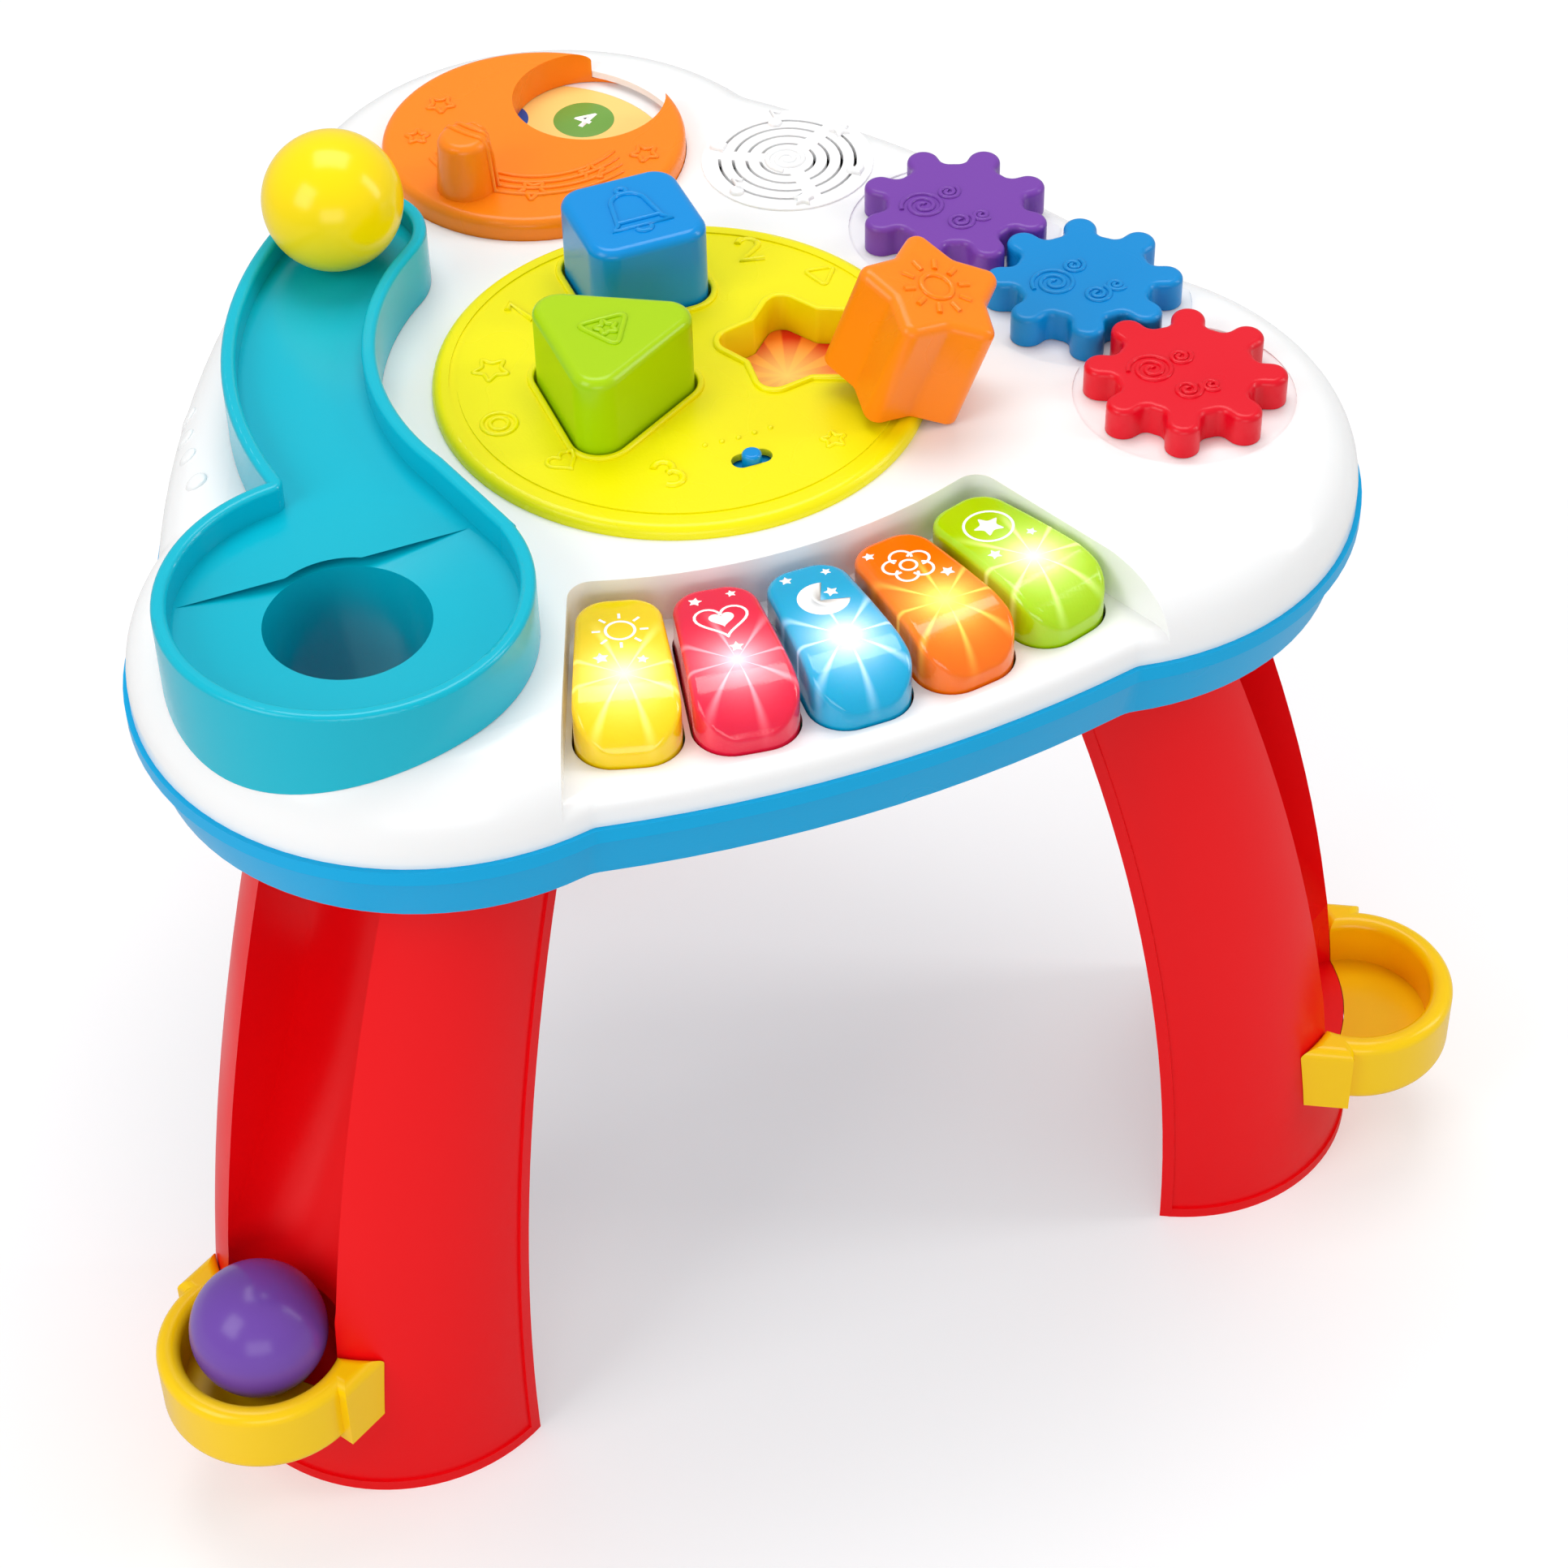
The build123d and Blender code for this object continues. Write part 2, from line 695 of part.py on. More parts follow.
cell_z = pocket_top - fit_gap - cell_r
cell_rows = (-cell_pitch, 0, cell_pitch)
with BuildPart() as battery_cells:
    with BuildSketch(Plane(origin=(-cell_len / 2, table_y, 0), x_dir=(0, 1, 0), z_dir=(1, 0, 0))):
        with Locations(*[(row, cell_z) for row in cell_rows]):
            Circle(cell_r)
    extrude(amount=cell_len - 1)
    with BuildSketch(Plane(origin=(-cell_len / 2, table_y, 0), x_dir=(0, 1, 0), z_dir=(1, 0, 0))):
        with Locations(*[(row, cell_z) for row in cell_rows]):
            Circle(cell_r / 3)
    extrude(amount=cell_len)
save(battery_cells, "battery_cells")

with BuildPart() as battery_contacts:
    for end in (-1, 1):
        wall_x = end * pocket_len / 2
        with BuildSketch(Plane(origin=(wall_x, table_y, 0), x_dir=(0, 1, 0), z_dir=(1, 0, 0))):
            with Locations(*[(row, cell_z) for row in cell_rows]):
                Rectangle(cell_pitch - 3, cell_r + 4)
        extrude(amount=-end * 0.5)
        with BuildSketch(Plane(origin=(wall_x, table_y, 0), x_dir=(0, 1, 0), z_dir=(1, 0, 0))):
            with Locations(*[(row, cell_z) for row in cell_rows]):
                Circle(2.5)
        extrude(amount=-end * (pocket_len / 2 - cell_len / 2 - 0.3))
save(battery_contacts, "battery_contacts")

with BuildPart() as door_screw:
    with BuildSketch(level(tray_z)):
        with Locations((door_screw_pos, 0)):
            Circle(screw_head_r)
    extrude(amount=door_t - 1.2)
    with BuildSketch(level(tray_z)):
        with Locations((door_screw_pos, 0)):
            Circle(screw_r)
    extrude(amount=door_screw_len - 1)
save(door_screw, "door_screw")


def screw_set(points, seat, way, radius, length, head_r, head_h):
    """Screws that seat at one height and point up (1) or down (-1)."""
    with BuildPart() as screws:
        with BuildSketch(level(seat)):
            with Locations(*points):
                Circle(head_r)
        extrude(amount=-way * head_h)
        with BuildSketch(level(seat)):
            with Locations(*points):
                Circle(radius)
        extrude(amount=way * length)
    return screws.part


with BuildPart() as housing_screws:
    add(screw_set(housing_points, seam_z - 6, 1, big_screw_r, big_screw_len, big_screw_head_r, big_screw_head_h))
save(housing_screws, "housing_screws")

with BuildPart() as leg_screws:
    add(screw_set(leg_screw_points, tray_z - wall, 1, big_screw_r, leg_screw_len, big_screw_head_r,
                  big_screw_head_h))
save(leg_screws, "leg_screws")

with BuildPart() as inner_screws:
    for points, seat, way in ((plate_points + ramp_points, deck_z - wall, 1),
                              (dial_points, deck_z - dial_drop - dial_t, 1),
                              (speaker_points, deck_z - wall - 3 - speaker_t, 1),
                              (frame_points, deck_z - frame_drop - frame_t, 1),
                              (board_points, main_board_z + board_t, -1),
                              (switch_points, deck_z - switch_drop - 2, 1)):
        add(screw_set(points, seat, way, screw_r, screw_len, screw_head_r, screw_head_h))
save(inner_screws, "inner_screws")

# ---------------------------------------------------------------- curved slide with its funnel
def ramp_outline(grow):
    wedge_r = 2 * ramp_outer_r
    middle_r = (ramp_inner_r + ramp_outer_r) / 2
    half_w = (ramp_outer_r - ramp_inner_r) / 2
    with BuildSketch() as shape:
        Circle(ramp_outer_r)
        Circle(ramp_inner_r, mode=Mode.SUBTRACT)
        with BuildLine():
            Polyline((0, 0), polar(wedge_r, ramp_from), polar(wedge_r, (ramp_from + ramp_to) / 2),
                     polar(wedge_r, ramp_to), close=True)
        make_face(mode=Mode.INTERSECT)
        with Locations(polar(middle_r, ramp_from)):
            Circle(half_w)
        with Locations(funnel_pos):
            Circle(funnel_r)
        with BuildLine():
            Polyline(polar(ramp_inner_r, ramp_to), polar(ramp_outer_r, ramp_to - 12), funnel_pos,
                     ramp_elbow, close=True)
        make_face()
        if grow:
            offset(amount=grow)
    return shape.sketch


with BuildPart() as ramp_floor:
    with BuildSketch(Plane(origin=(-2 * ramp_outer_r, table_y, deck_z), x_dir=(0, 1, 0), z_dir=(1, 0, 0))):
        with BuildLine():
            Polyline((ramp_outer_r, ramp_high), (-funnel_r, ramp_low), (-2 * ramp_outer_r, ramp_low),
                     (-2 * ramp_outer_r, 3 * ramp_rim), (ramp_outer_r, 3 * ramp_rim), close=True)
        make_face()
    extrude(amount=2 * ramp_outer_r)

with BuildPart() as ramp_channel:
    with BuildSketch(level(deck_z)):
        add(ramp_outline(-ramp_lip))
    extrude(amount=2 * ramp_rim)
    add(ramp_floor.part, mode=Mode.INTERSECT)

with BuildPart() as ramp_hollow:
    with BuildSketch(level(deck_z - edge_r)):
        add(ramp_outline(-wall))
    extrude(amount=edge_r + ramp_low - wall)
    with BuildSketch(level(deck_z - edge_r)):
        with Locations(funnel_pos):
            Circle(drop_r + wall)
    extrude(amount=2 * edge_r, mode=Mode.SUBTRACT)
    with BuildSketch(level(deck_z + bowl_low - wall)):
        with Locations(funnel_pos):
            Circle(funnel_r)
    extrude(amount=edge_r, mode=Mode.SUBTRACT)
    with BuildSketch(level(deck_z - edge_r)):
        with Locations(*ramp_points):
            Circle(boss_r)
    extrude(amount=2 * edge_r, mode=Mode.SUBTRACT)

with BuildPart() as ball_ramp:
    with BuildSketch(level(deck_z - edge_r)):
        add(ramp_outline(0))
    extrude(amount=edge_r + ramp_rim)
    add(ramp_channel.part, mode=Mode.SUBTRACT)
    fillet(ball_ramp.faces().sort_by(Axis.Z)[-1].edges(), ramp_lip_round)
    add(ramp_hollow.part, mode=Mode.SUBTRACT)
    add(housing_form(-fit_gap, seam_z - wall), mode=Mode.SUBTRACT)
    with BuildSketch(level(funnel_axis_low)):
        with Locations(funnel_pos):
            Circle(drop_r + wall)
    extrude(amount=deck_z + bowl_low - funnel_axis_low)
    with BuildSketch(level(deck_z + bowl_low)):
        with Locations(funnel_pos):
            Circle(drop_r)
    with BuildSketch(level(deck_z + ramp_low)):
        with Locations(funnel_pos):
            Circle(funnel_r - ramp_lip - 1)
    loft(mode=Mode.SUBTRACT)
    with BuildSketch(level(tray_z)):
        with Locations(funnel_pos):
            Circle(drop_r)
    extrude(amount=2 * edge_r + seam_drop + ramp_rim, mode=Mode.SUBTRACT)
    with BuildSketch(level(deck_z)):
        with Locations(*ramp_points):
            Circle(screw_r + shaft_gap)
    extrude(amount=screw_len - wall + 1, mode=Mode.SUBTRACT)
save(ball_ramp, "ball_ramp")

# ---------------------------------------------------------------- shape sorter
with BuildPart() as sorter_plate:
    with BuildSketch(level(deck_z)):
        Circle(plate_r)
    extrude(amount=plate_top)
    fillet(sorter_plate.faces().sort_by(Axis.Z)[-1].edges(), plate_edge_r)
    with BuildSketch(level(deck_z)):
        Circle(plate_r - plate_rim)
        with Locations(*plate_points):
            Circle(boss_r, mode=Mode.SUBTRACT)
    extrude(amount=plate_top - plate_t, mode=Mode.SUBTRACT)
    with BuildSketch(level(deck_z + plate_top)):
        Circle(plate_groove[1])
        Circle(plate_groove[0], mode=Mode.SUBTRACT)
    extrude(amount=-0.6, mode=Mode.SUBTRACT)
    for shape, place in block_shapes.values():
        with BuildSketch(level(deck_z - well_depth - well_wall)):
            with Locations(place):
                add(shape(well_gap + well_wall))
        extrude(amount=well_depth + well_wall + plate_top)
        with BuildSketch(level(deck_z + plate_top - 1)):
            with Locations(place):
                add(shape(well_gap + bead_w))
        extrude(amount=bead_h + 1)
        with BuildSketch(level(deck_z - well_depth)):
            with Locations(place):
                add(shape(well_gap))
        extrude(amount=2 * well_depth, mode=Mode.SUBTRACT)
    for rim in sorter_plate.faces().filter_by(Plane.XY).group_by(Axis.Z)[-1]:
        fillet(rim.edges(), bead_round)
    with BuildSketch(level(deck_z - switch_drop)):
        with Locations(*switch_points):
            Circle(boss_r)
    extrude(amount=switch_drop + plate_top - 1)
    with BuildSketch(level(deck_z)):
        with Locations(switch_pos):
            SlotOverall(switch_slot_len, switch_slot_w)
    extrude(amount=plate_top, mode=Mode.SUBTRACT)
    for points, low, deep in ((plate_points, deck_z, 4.2), (switch_points, deck_z - switch_drop, 4.8)):
        with BuildSketch(level(low)):
            with Locations(*points):
                Circle(screw_r + shaft_gap)
        extrude(amount=deep, mode=Mode.SUBTRACT)
save(sorter_plate, "sorter_plate")

for name, (shape, place) in block_shapes.items():
    with BuildPart() as inlay:
        with BuildSketch(level(deck_z - well_depth)):
            with Locations(place):
                add(shape(well_gap - fit_gap))
        extrude(amount=inlay_t)
    save(inlay, f"{name}_inlay")


def block(shape):
    """Shape block standing on z = 0, open underneath."""
    with BuildPart() as form:
        with BuildSketch():
            add(shape(0))
        extrude(amount=block_h)
        fillet(form.faces().sort_by(Axis.Z)[-1].edges(), block_round)
        fillet(form.faces().sort_by(Axis.Z)[0].edges(), 1)
        with BuildSketch():
            add(shape(-block_wall))
        extrude(amount=block_h - block_wall, mode=Mode.SUBTRACT)
    return form.part


block_z = deck_z - well_depth + inlay_t + fit_gap
with BuildPart() as block_square:
    add(block(square_outline).moved(Location((square_pos[0], table_y + square_pos[1], block_z))))
save(block_square, "block_square")

with BuildPart() as block_triangle:
    add(block(triangle_outline).moved(Location((triangle_pos[0], table_y + triangle_pos[1], block_z))))
save(block_triangle, "block_triangle")

tilt_axis = Axis((0, 0, 0), Vector(*polar(1, star_lean_way + 90)))
with BuildPart() as block_star:
    loose = block(star_outline).rotate(tilt_axis, star_lean)
    add(loose.moved(Location((star_rest[0], table_y + star_rest[1], deck_z + star_rest_z))))
save(block_star, "block_star")

# ---------------------------------------------------------------- three-way switch
body_len, body_w, body_h = switch_body_size
with BuildPart() as switch_body:
    with BuildSketch(level(deck_z - switch_drop)):
        with Locations(switch_pos):
            Rectangle(body_len, body_w)
    extrude(amount=-body_h)
    with BuildSketch(level(deck_z - switch_drop)):
        with Locations(switch_pos):
            SlotCenterToCenter(switch_points[1][0] - switch_points[0][0], 2 * boss_r)
        with Locations(*switch_points):
            Circle(screw_hole_r, mode=Mode.SUBTRACT)
    extrude(amount=-2)
    with BuildSketch(level(deck_z - switch_drop)):
        with Locations(switch_pos):
            Rectangle(2 * switch_travel + 5, 4.6)
    extrude(amount=-4, mode=Mode.SUBTRACT)
save(switch_body, "switch_body")

with BuildPart() as switch_knob:
    knob_low = deck_z - switch_drop + fit_gap
    with BuildSketch(level(knob_low)):
        with Locations(switch_pos):
            Rectangle(switch_slot_len + 2, switch_slot_w + 3)
    extrude(amount=1.6)
    with BuildSketch(level(knob_low)):
        with Locations(switch_pos):
            Circle(switch_slot_w / 2 - fit_gap)
    extrude(amount=deck_z + switch_top - knob_low)
    fillet(switch_knob.faces().sort_by(Axis.Z)[-1].edges(), 1.4)
    with BuildSketch(level(knob_low)):
        with Locations(switch_pos):
            Rectangle(4, 4)
    extrude(amount=-3.5)
save(switch_knob, "switch_knob")

# ---------------------------------------------------------------- balls
ramp_slope = (ramp_high - ramp_low) / (ramp_outer_r + funnel_r)
ramp_tilt = math.atan(ramp_slope)
ball_on_ramp_z = (deck_z + ramp_low + (ball_on_ramp_at[1] + funnel_r) * ramp_slope
                  + (ball_r + fit_gap) / math.cos(ramp_tilt))
ball_places = {"yellow": (*ball_on_ramp_at, ball_on_ramp_z),
               "purple": (*polar(cup_pos, lobe_angles["left"]), rest_z)}
for name, (x, y, z) in ball_places.items():
    with BuildPart() as ball:
        with Locations((x, table_y + y, z)):
            Sphere(ball_r)
    save(ball, f"ball_{name}")

# ---------------------------------------------------------------- moon spinner and its dial
with BuildPart() as moon_spinner:
    with BuildSketch(level(deck_z - wall - fit_gap - flange_t)):
        with Locations(moon_pos):
            Circle(moon_r)
    extrude(amount=wall + fit_gap + flange_t + moon_top)
    fillet(moon_spinner.faces().sort_by(Axis.Z)[-1].edges(), moon_round)
    with BuildSketch(level(deck_z - wall - fit_gap)):
        with Locations(moon_pos):
            Circle(flange_r)
    extrude(amount=-flange_t)
    knob_place = (moon_pos[0] + knob_at[0], moon_pos[1] + knob_at[1])
    window_place = (moon_pos[0] + moon_window_at[0], moon_pos[1] + moon_window_at[1])
    with BuildSketch(level(deck_z + moon_top)):
        with Locations(knob_place):
            Circle(knob_r)
    with BuildSketch(level(deck_z + knob_top)):
        with Locations(knob_place):
            Circle(knob_r - 2)
    loft()
    fillet(moon_spinner.faces().sort_by(Axis.Z)[-1].edges(), moon_round)
    with BuildSketch(level(deck_z - dial_drop)):
        with Locations(moon_pos):
            Circle(moon_r - moon_wall)
        with Locations(window_place):
            Circle(moon_window_r + moon_wall, mode=Mode.SUBTRACT)
    extrude(amount=dial_drop + moon_top - moon_wall, mode=Mode.SUBTRACT)
    with BuildSketch(level(deck_z)):
        with Locations(knob_place):
            Circle(knob_r - 2 - moon_wall)
    extrude(amount=knob_top - moon_wall, mode=Mode.SUBTRACT)
    with BuildSketch(level(deck_z - dial_drop)):
        with Locations(window_place):
            Circle(moon_window_r)
    extrude(amount=knob_top, mode=Mode.SUBTRACT)
save(moon_spinner, "moon_spinner")

with BuildPart() as dial_plate:
    with BuildSketch(level(deck_z - dial_drop)):
        with Locations(moon_pos):
            Circle(flange_r + 8.5)
        with Locations(*dial_points):
            Circle(screw_hole_r, mode=Mode.SUBTRACT)
    extrude(amount=-dial_t)
    with BuildSketch(level(deck_z - dial_drop)):
        with Locations(moon_pos):
            Circle(label_r + 0.2)
    extrude(amount=-label_t, mode=Mode.SUBTRACT)
save(dial_plate, "dial_plate")

with BuildPart() as dial_label:
    with BuildSketch(level(deck_z - dial_drop)):
        with Locations(moon_pos):
            Circle(label_r)
    extrude(amount=-label_t)
save(dial_label, "dial_label")

# ---------------------------------------------------------------- gears
tooth_pitch = 360 / teeth
gear_turns = {"blue": gear_turn}
for name, way in (("purple", purple_way), ("red", red_way)):
    gear_turns[name] = 180 + 2 * way - gear_turn + tooth_pitch / 2

for name, place in gear_places.items():
    with BuildPart() as gear:
        with BuildSketch(level(deck_z - gear_recess + fit_gap)) as outline_sketch:
            with Locations(place):
                Circle(gear_root_r)
                with PolarLocations((gear_r - tooth_r) / 2, teeth, gear_turns[name]):
                    Rectangle(gear_r - tooth_r, 2 * tooth_r)
                with PolarLocations(gear_r - tooth_r, teeth, gear_turns[name]):
                    Circle(tooth_r)
            centre = Vector(place[0], place[1])
            inner = [v for v in outline_sketch.vertices() if (Vector(v) - centre).length < gear_root_r + 1]
            fillet(inner, tooth_root_round)
        extrude(amount=gear_top + gear_recess - fit_gap)
        fillet(gear.faces().sort_by(Axis.Z)[-1].edges(), gear_round)
        with BuildSketch(level(deck_z - gear_recess + fit_gap)):
            with Locations(place):
                Circle(gear_root_r - 2 * gear_wall)
                Circle(pin_r + gear_wall, mode=Mode.SUBTRACT)
        extrude(amount=gear_top + gear_recess - fit_gap - gear_wall, mode=Mode.SUBTRACT)
        with BuildSketch(level(deck_z)):
            with Locations(place):
                Circle(pin_r)
        extrude(amount=-bush_depth - fit_gap)
        with BuildSketch(level(deck_z - bush_depth - fit_gap)):
            with Locations(place):
                Circle(screw_r + shaft_gap)
        extrude(amount=screw_len + 1, mode=Mode.SUBTRACT)
    save(gear, f"gear_{name}")
    with BuildPart() as gear_screw:
        seat = deck_z - bush_depth - fit_gap
        with BuildSketch(level(seat)):
            with Locations(place):
                Circle(bush_r - 1)
        extrude(amount=-1)
        with BuildSketch(level(seat - 1)):
            with Locations(place):
                Circle(screw_head_r)
        extrude(amount=-screw_head_h)
        with BuildSketch(level(seat)):
            with Locations(place):
                Circle(screw_r)
        extrude(amount=screw_len)
    save(gear_screw, f"gear_screw_{name}")

# ---------------------------------------------------------------- lamp keys
skirt_z = deck_z - key_skirt_drop
pivot_z = deck_z - pivot_drop
frame_z = deck_z - frame_drop
board_z = frame_z + board_t
tab_h = 2 * (pivot_z - skirt_z)


def key_form(shrink):
    """Solid form of a key along +X from the fan point: its plan cut by its side view."""
    with BuildPart() as form:
        with BuildSketch(Plane.XY.offset(skirt_z)):
            add(key_plan(-shrink))
        extrude(amount=key_skirt_drop)
        with BuildSketch(Plane.XZ):
            with BuildLine():
                rise = ThreePointArc((key_back_r - 6, key_tail_z - shrink),
                                     (key_crown_r - 22, deck_z - key_crown - 1 - shrink),
                                     (key_crown_r, deck_z - key_crown - shrink))
                nose = ThreePointArc(rise @ 1, (key_front_r - 8, deck_z - 5.5 - shrink),
                                     (key_front_r + 1, deck_z - 17 - shrink))
                Polyline(nose @ 1, (key_front_r + 1, skirt_z), (key_back_r - 6, skirt_z), rise @ 0)
            make_face()
        extrude(amount=key_front_r, both=True, mode=Mode.INTERSECT)
    return form.part


key_tail_z = deck_z - key_tail_drop
with BuildPart() as key_form_full:
    add(key_form(0))
    crown_edges = key_form_full.edges().filter_by_position(Axis.Z, key_tail_z - 8, deck_z)
    crown_edges = crown_edges.filter_by(lambda edge: edge.bounding_box().size.Z < 12
                                        or edge.bounding_box().size.X > 20)
    fillet(crown_edges, key_edge_round)
    add(key_form(key_wall), mode=Mode.SUBTRACT)
    with BuildSketch(Plane.XY.offset(board_z + dome_h + fit_gap)):
        with Locations((dome_pos, 0)):
            Circle(3)
    extrude(amount=deck_z - key_crown - 0.8 * key_wall - board_z - dome_h - fit_gap)
    with BuildSketch(Plane.XY.offset(skirt_z)):
        with Locations(((pivot_r + key_back_r + 3) / 2, 0)):
            Rectangle(key_back_r + 3 - pivot_r, tab_w)
    extrude(amount=tab_h)
    with BuildSketch(Plane.XZ):
        with Locations((pivot_r, pivot_z)):
            Circle(tab_h / 2)
    extrude(amount=tab_w / 2, both=True)
    with BuildSketch(Plane.XZ):
        with Locations((pivot_r, pivot_z)):
            Circle(trunnion_r)
    extrude(amount=tab_w / 2 + trunnion_len, both=True)
    with BuildSketch(Plane.XY.offset(terrace_z - wall - fit_gap)):
        with Locations((key_front_r - key_wall, 0)):
            Rectangle(2 * key_wall + 3, tab_w)
    extrude(amount=-3)

for name, angle in key_angles.items():
    with BuildPart() as key:
        add(key_form_full.part.moved(Location((0, table_y + fan_y, 0), (0, 0, angle - 90))))
    save(key, f"key_{name}")

ear_in = tab_w / 2 + fit_gap
ear_w = trunnion_len - fit_gap
with BuildPart() as key_frame:
    with BuildSketch(level(frame_z)):
        with BuildLine():
            reach = 2 * key_front_r
            Polyline((0, fan_y), (-reach * math.sin(math.radians(frame_half)),
                                  fan_y - reach * math.cos(math.radians(frame_half))),
                     (reach * math.sin(math.radians(frame_half)),
                      fan_y - reach * math.cos(math.radians(frame_half))), close=True)
        make_face()
        with Locations((0, fan_y)):
            Circle(frame_front_r, mode=Mode.INTERSECT)
            Circle(frame_back_r, mode=Mode.SUBTRACT)
        with Locations(*frame_points):
            Circle(screw_hole_r, mode=Mode.SUBTRACT)
    extrude(amount=-frame_t)
    for angle in key_angles.values():
        with BuildSketch(fan_side(angle)):
            with Locations((pivot_r, (frame_z + pivot_z) / 2)):
                Rectangle(4 * trunnion_r, pivot_z - frame_z)
            with Locations((pivot_r, pivot_z)):
                Circle(2 * trunnion_r)
                Circle(trunnion_r + shaft_gap, mode=Mode.SUBTRACT)
        extrude(amount=ear_in + ear_w, both=True)
        with BuildSketch(fan(angle, frame_z)):
            with Locations((pivot_r, 0)):
                Rectangle(6 * trunnion_r, 2 * ear_in)
        extrude(amount=pivot_z - frame_z + 3 * trunnion_r, mode=Mode.SUBTRACT)
save(key_frame, "key_frame")

with BuildPart() as key_board:
    with BuildSketch(level(frame_z)):
        with BuildLine():
            Polyline((0, fan_y), (-reach * math.sin(math.radians(board_half)),
                                  fan_y - reach * math.cos(math.radians(board_half))),
                     (reach * math.sin(math.radians(board_half)),
                      fan_y - reach * math.cos(math.radians(board_half))), close=True)
        make_face()
        with Locations((0, fan_y)):
            Circle(dome_pos + 26, mode=Mode.INTERSECT)
            Circle(lamp_pos - 10, mode=Mode.SUBTRACT)
    extrude(amount=board_t)
save(key_board, "key_board")

for count, angle in enumerate(key_angles.values(), 1):
    with BuildPart() as key_dome:
        with BuildSketch(fan(angle, board_z)):
            with Locations((dome_pos, 0)):
                Circle(dome_r)
        with BuildSketch(fan(angle, board_z + dome_h)):
            with Locations((dome_pos, 0)):
                Circle(dome_r - 2)
        loft()
        with BuildSketch(fan(angle, board_z)):
            with Locations((dome_pos, 0)):
                Circle(dome_r - 1)
        with BuildSketch(fan(angle, board_z + dome_h - 1.5)):
            with Locations((dome_pos, 0)):
                Circle(dome_r - 3)
        loft(mode=Mode.SUBTRACT)
    save(key_dome, f"key_dome_{count}")

with BuildPart() as key_lamps:
    for angle in key_angles.values():
        with BuildSketch(fan(angle, board_z)):
            with Locations((lamp_pos, 0)):
                Circle(2.5)
        extrude(amount=5)
save(key_lamps, "key_lamps")

# ---------------------------------------------------------------- sound board and speaker
with BuildPart() as main_board:
    with BuildSketch(level(main_board_z)):
        Rectangle(104, 62)
        with Locations(*board_points):
            Circle(screw_hole_r, mode=Mode.SUBTRACT)
    extrude(amount=board_t)
    with BuildSketch(level(main_board_z + board_t)):
        with Locations((-12, 4)):
            Rectangle(16, 16)
        with Locations((20, -8), (20, 14)):
            Rectangle(9, 6)
    extrude(amount=2)
    with BuildSketch(level(main_board_z + board_t)):
        with Locations((-34, -8), (-34, 8)):
            Circle(4)
    extrude(amount=8)
save(main_board, "main_board")

speaker_z = deck_z - wall - 3
with BuildPart() as speaker_frame:
    with BuildSketch(level(speaker_z)):
        with Locations(grille_pos):
            Circle(speaker_r)
            Circle(speaker_r - 5, mode=Mode.SUBTRACT)
        with Locations(*speaker_points):
            Circle(boss_r)
            Circle(screw_hole_r, mode=Mode.SUBTRACT)
    extrude(amount=-speaker_t)
    with BuildSketch(level(speaker_z - speaker_t)):
        with Locations(grille_pos):
            Circle(speaker_r - 3)
    with BuildSketch(level(speaker_z - speaker_deep)):
        with Locations(grille_pos):
            Circle(magnet_r)
    loft()
    with BuildSketch(level(speaker_z - speaker_t)):
        with Locations(grille_pos):
            Circle(speaker_r - 5)
    with BuildSketch(level(speaker_z - speaker_deep + 2)):
        with Locations(grille_pos):
            Circle(magnet_r - 2)
    loft(mode=Mode.SUBTRACT)
    with BuildSketch(level(speaker_z - speaker_deep)):
        with Locations(grille_pos):
            Circle(magnet_r)
    extrude(amount=-7)
save(speaker_frame, "speaker_frame")

with BuildPart() as speaker_cone:
    with BuildSketch(level(speaker_z - speaker_t + 0.6)):
        with Locations(grille_pos):
            Circle(speaker_r - 5.1)
    extrude(amount=-0.6)
    with BuildSketch(level(speaker_z - speaker_t)):
        with Locations(grille_pos):
            Circle(speaker_r - 8)
    with BuildSketch(level(speaker_z - speaker_deep + 5)):
        with Locations(grille_pos):
            Circle(9)
    loft()
    with BuildSketch(level(speaker_z - speaker_t + 0.6)):
        with Locations(grille_pos):
            Circle(speaker_r - 8.8)
    with BuildSketch(level(speaker_z - speaker_deep + 5.8)):
        with Locations(grille_pos):
            Circle(8.2)
    loft(mode=Mode.SUBTRACT)
    with BuildSketch(level(speaker_z - speaker_deep + 5)):
        with Locations(grille_pos):
            Circle(7)
    extrude(amount=-2.8)
save(speaker_cone, "speaker_cone")
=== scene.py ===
import bpy
import json
import math
from mathutils import Matrix, Vector
from mathutils.bvhtree import BVHTree


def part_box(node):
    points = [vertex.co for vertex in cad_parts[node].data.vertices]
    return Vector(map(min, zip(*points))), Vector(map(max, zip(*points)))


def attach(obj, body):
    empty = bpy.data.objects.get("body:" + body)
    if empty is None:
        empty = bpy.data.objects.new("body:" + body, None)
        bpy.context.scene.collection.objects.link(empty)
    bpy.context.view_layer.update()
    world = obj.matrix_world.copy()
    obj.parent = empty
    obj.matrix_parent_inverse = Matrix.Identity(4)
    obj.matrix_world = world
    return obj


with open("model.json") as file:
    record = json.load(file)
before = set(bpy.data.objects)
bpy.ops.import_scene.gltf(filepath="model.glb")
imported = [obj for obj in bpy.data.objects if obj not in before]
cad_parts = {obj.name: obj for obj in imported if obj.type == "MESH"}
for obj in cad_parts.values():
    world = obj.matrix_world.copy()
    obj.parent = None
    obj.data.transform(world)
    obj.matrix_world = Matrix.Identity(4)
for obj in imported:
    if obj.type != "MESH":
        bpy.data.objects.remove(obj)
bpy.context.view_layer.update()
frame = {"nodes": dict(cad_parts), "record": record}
nodes = frame["nodes"]
nodeBody = {node: body for body, members in frame["record"]["behaviour"]["bodies"].items() for node in members}
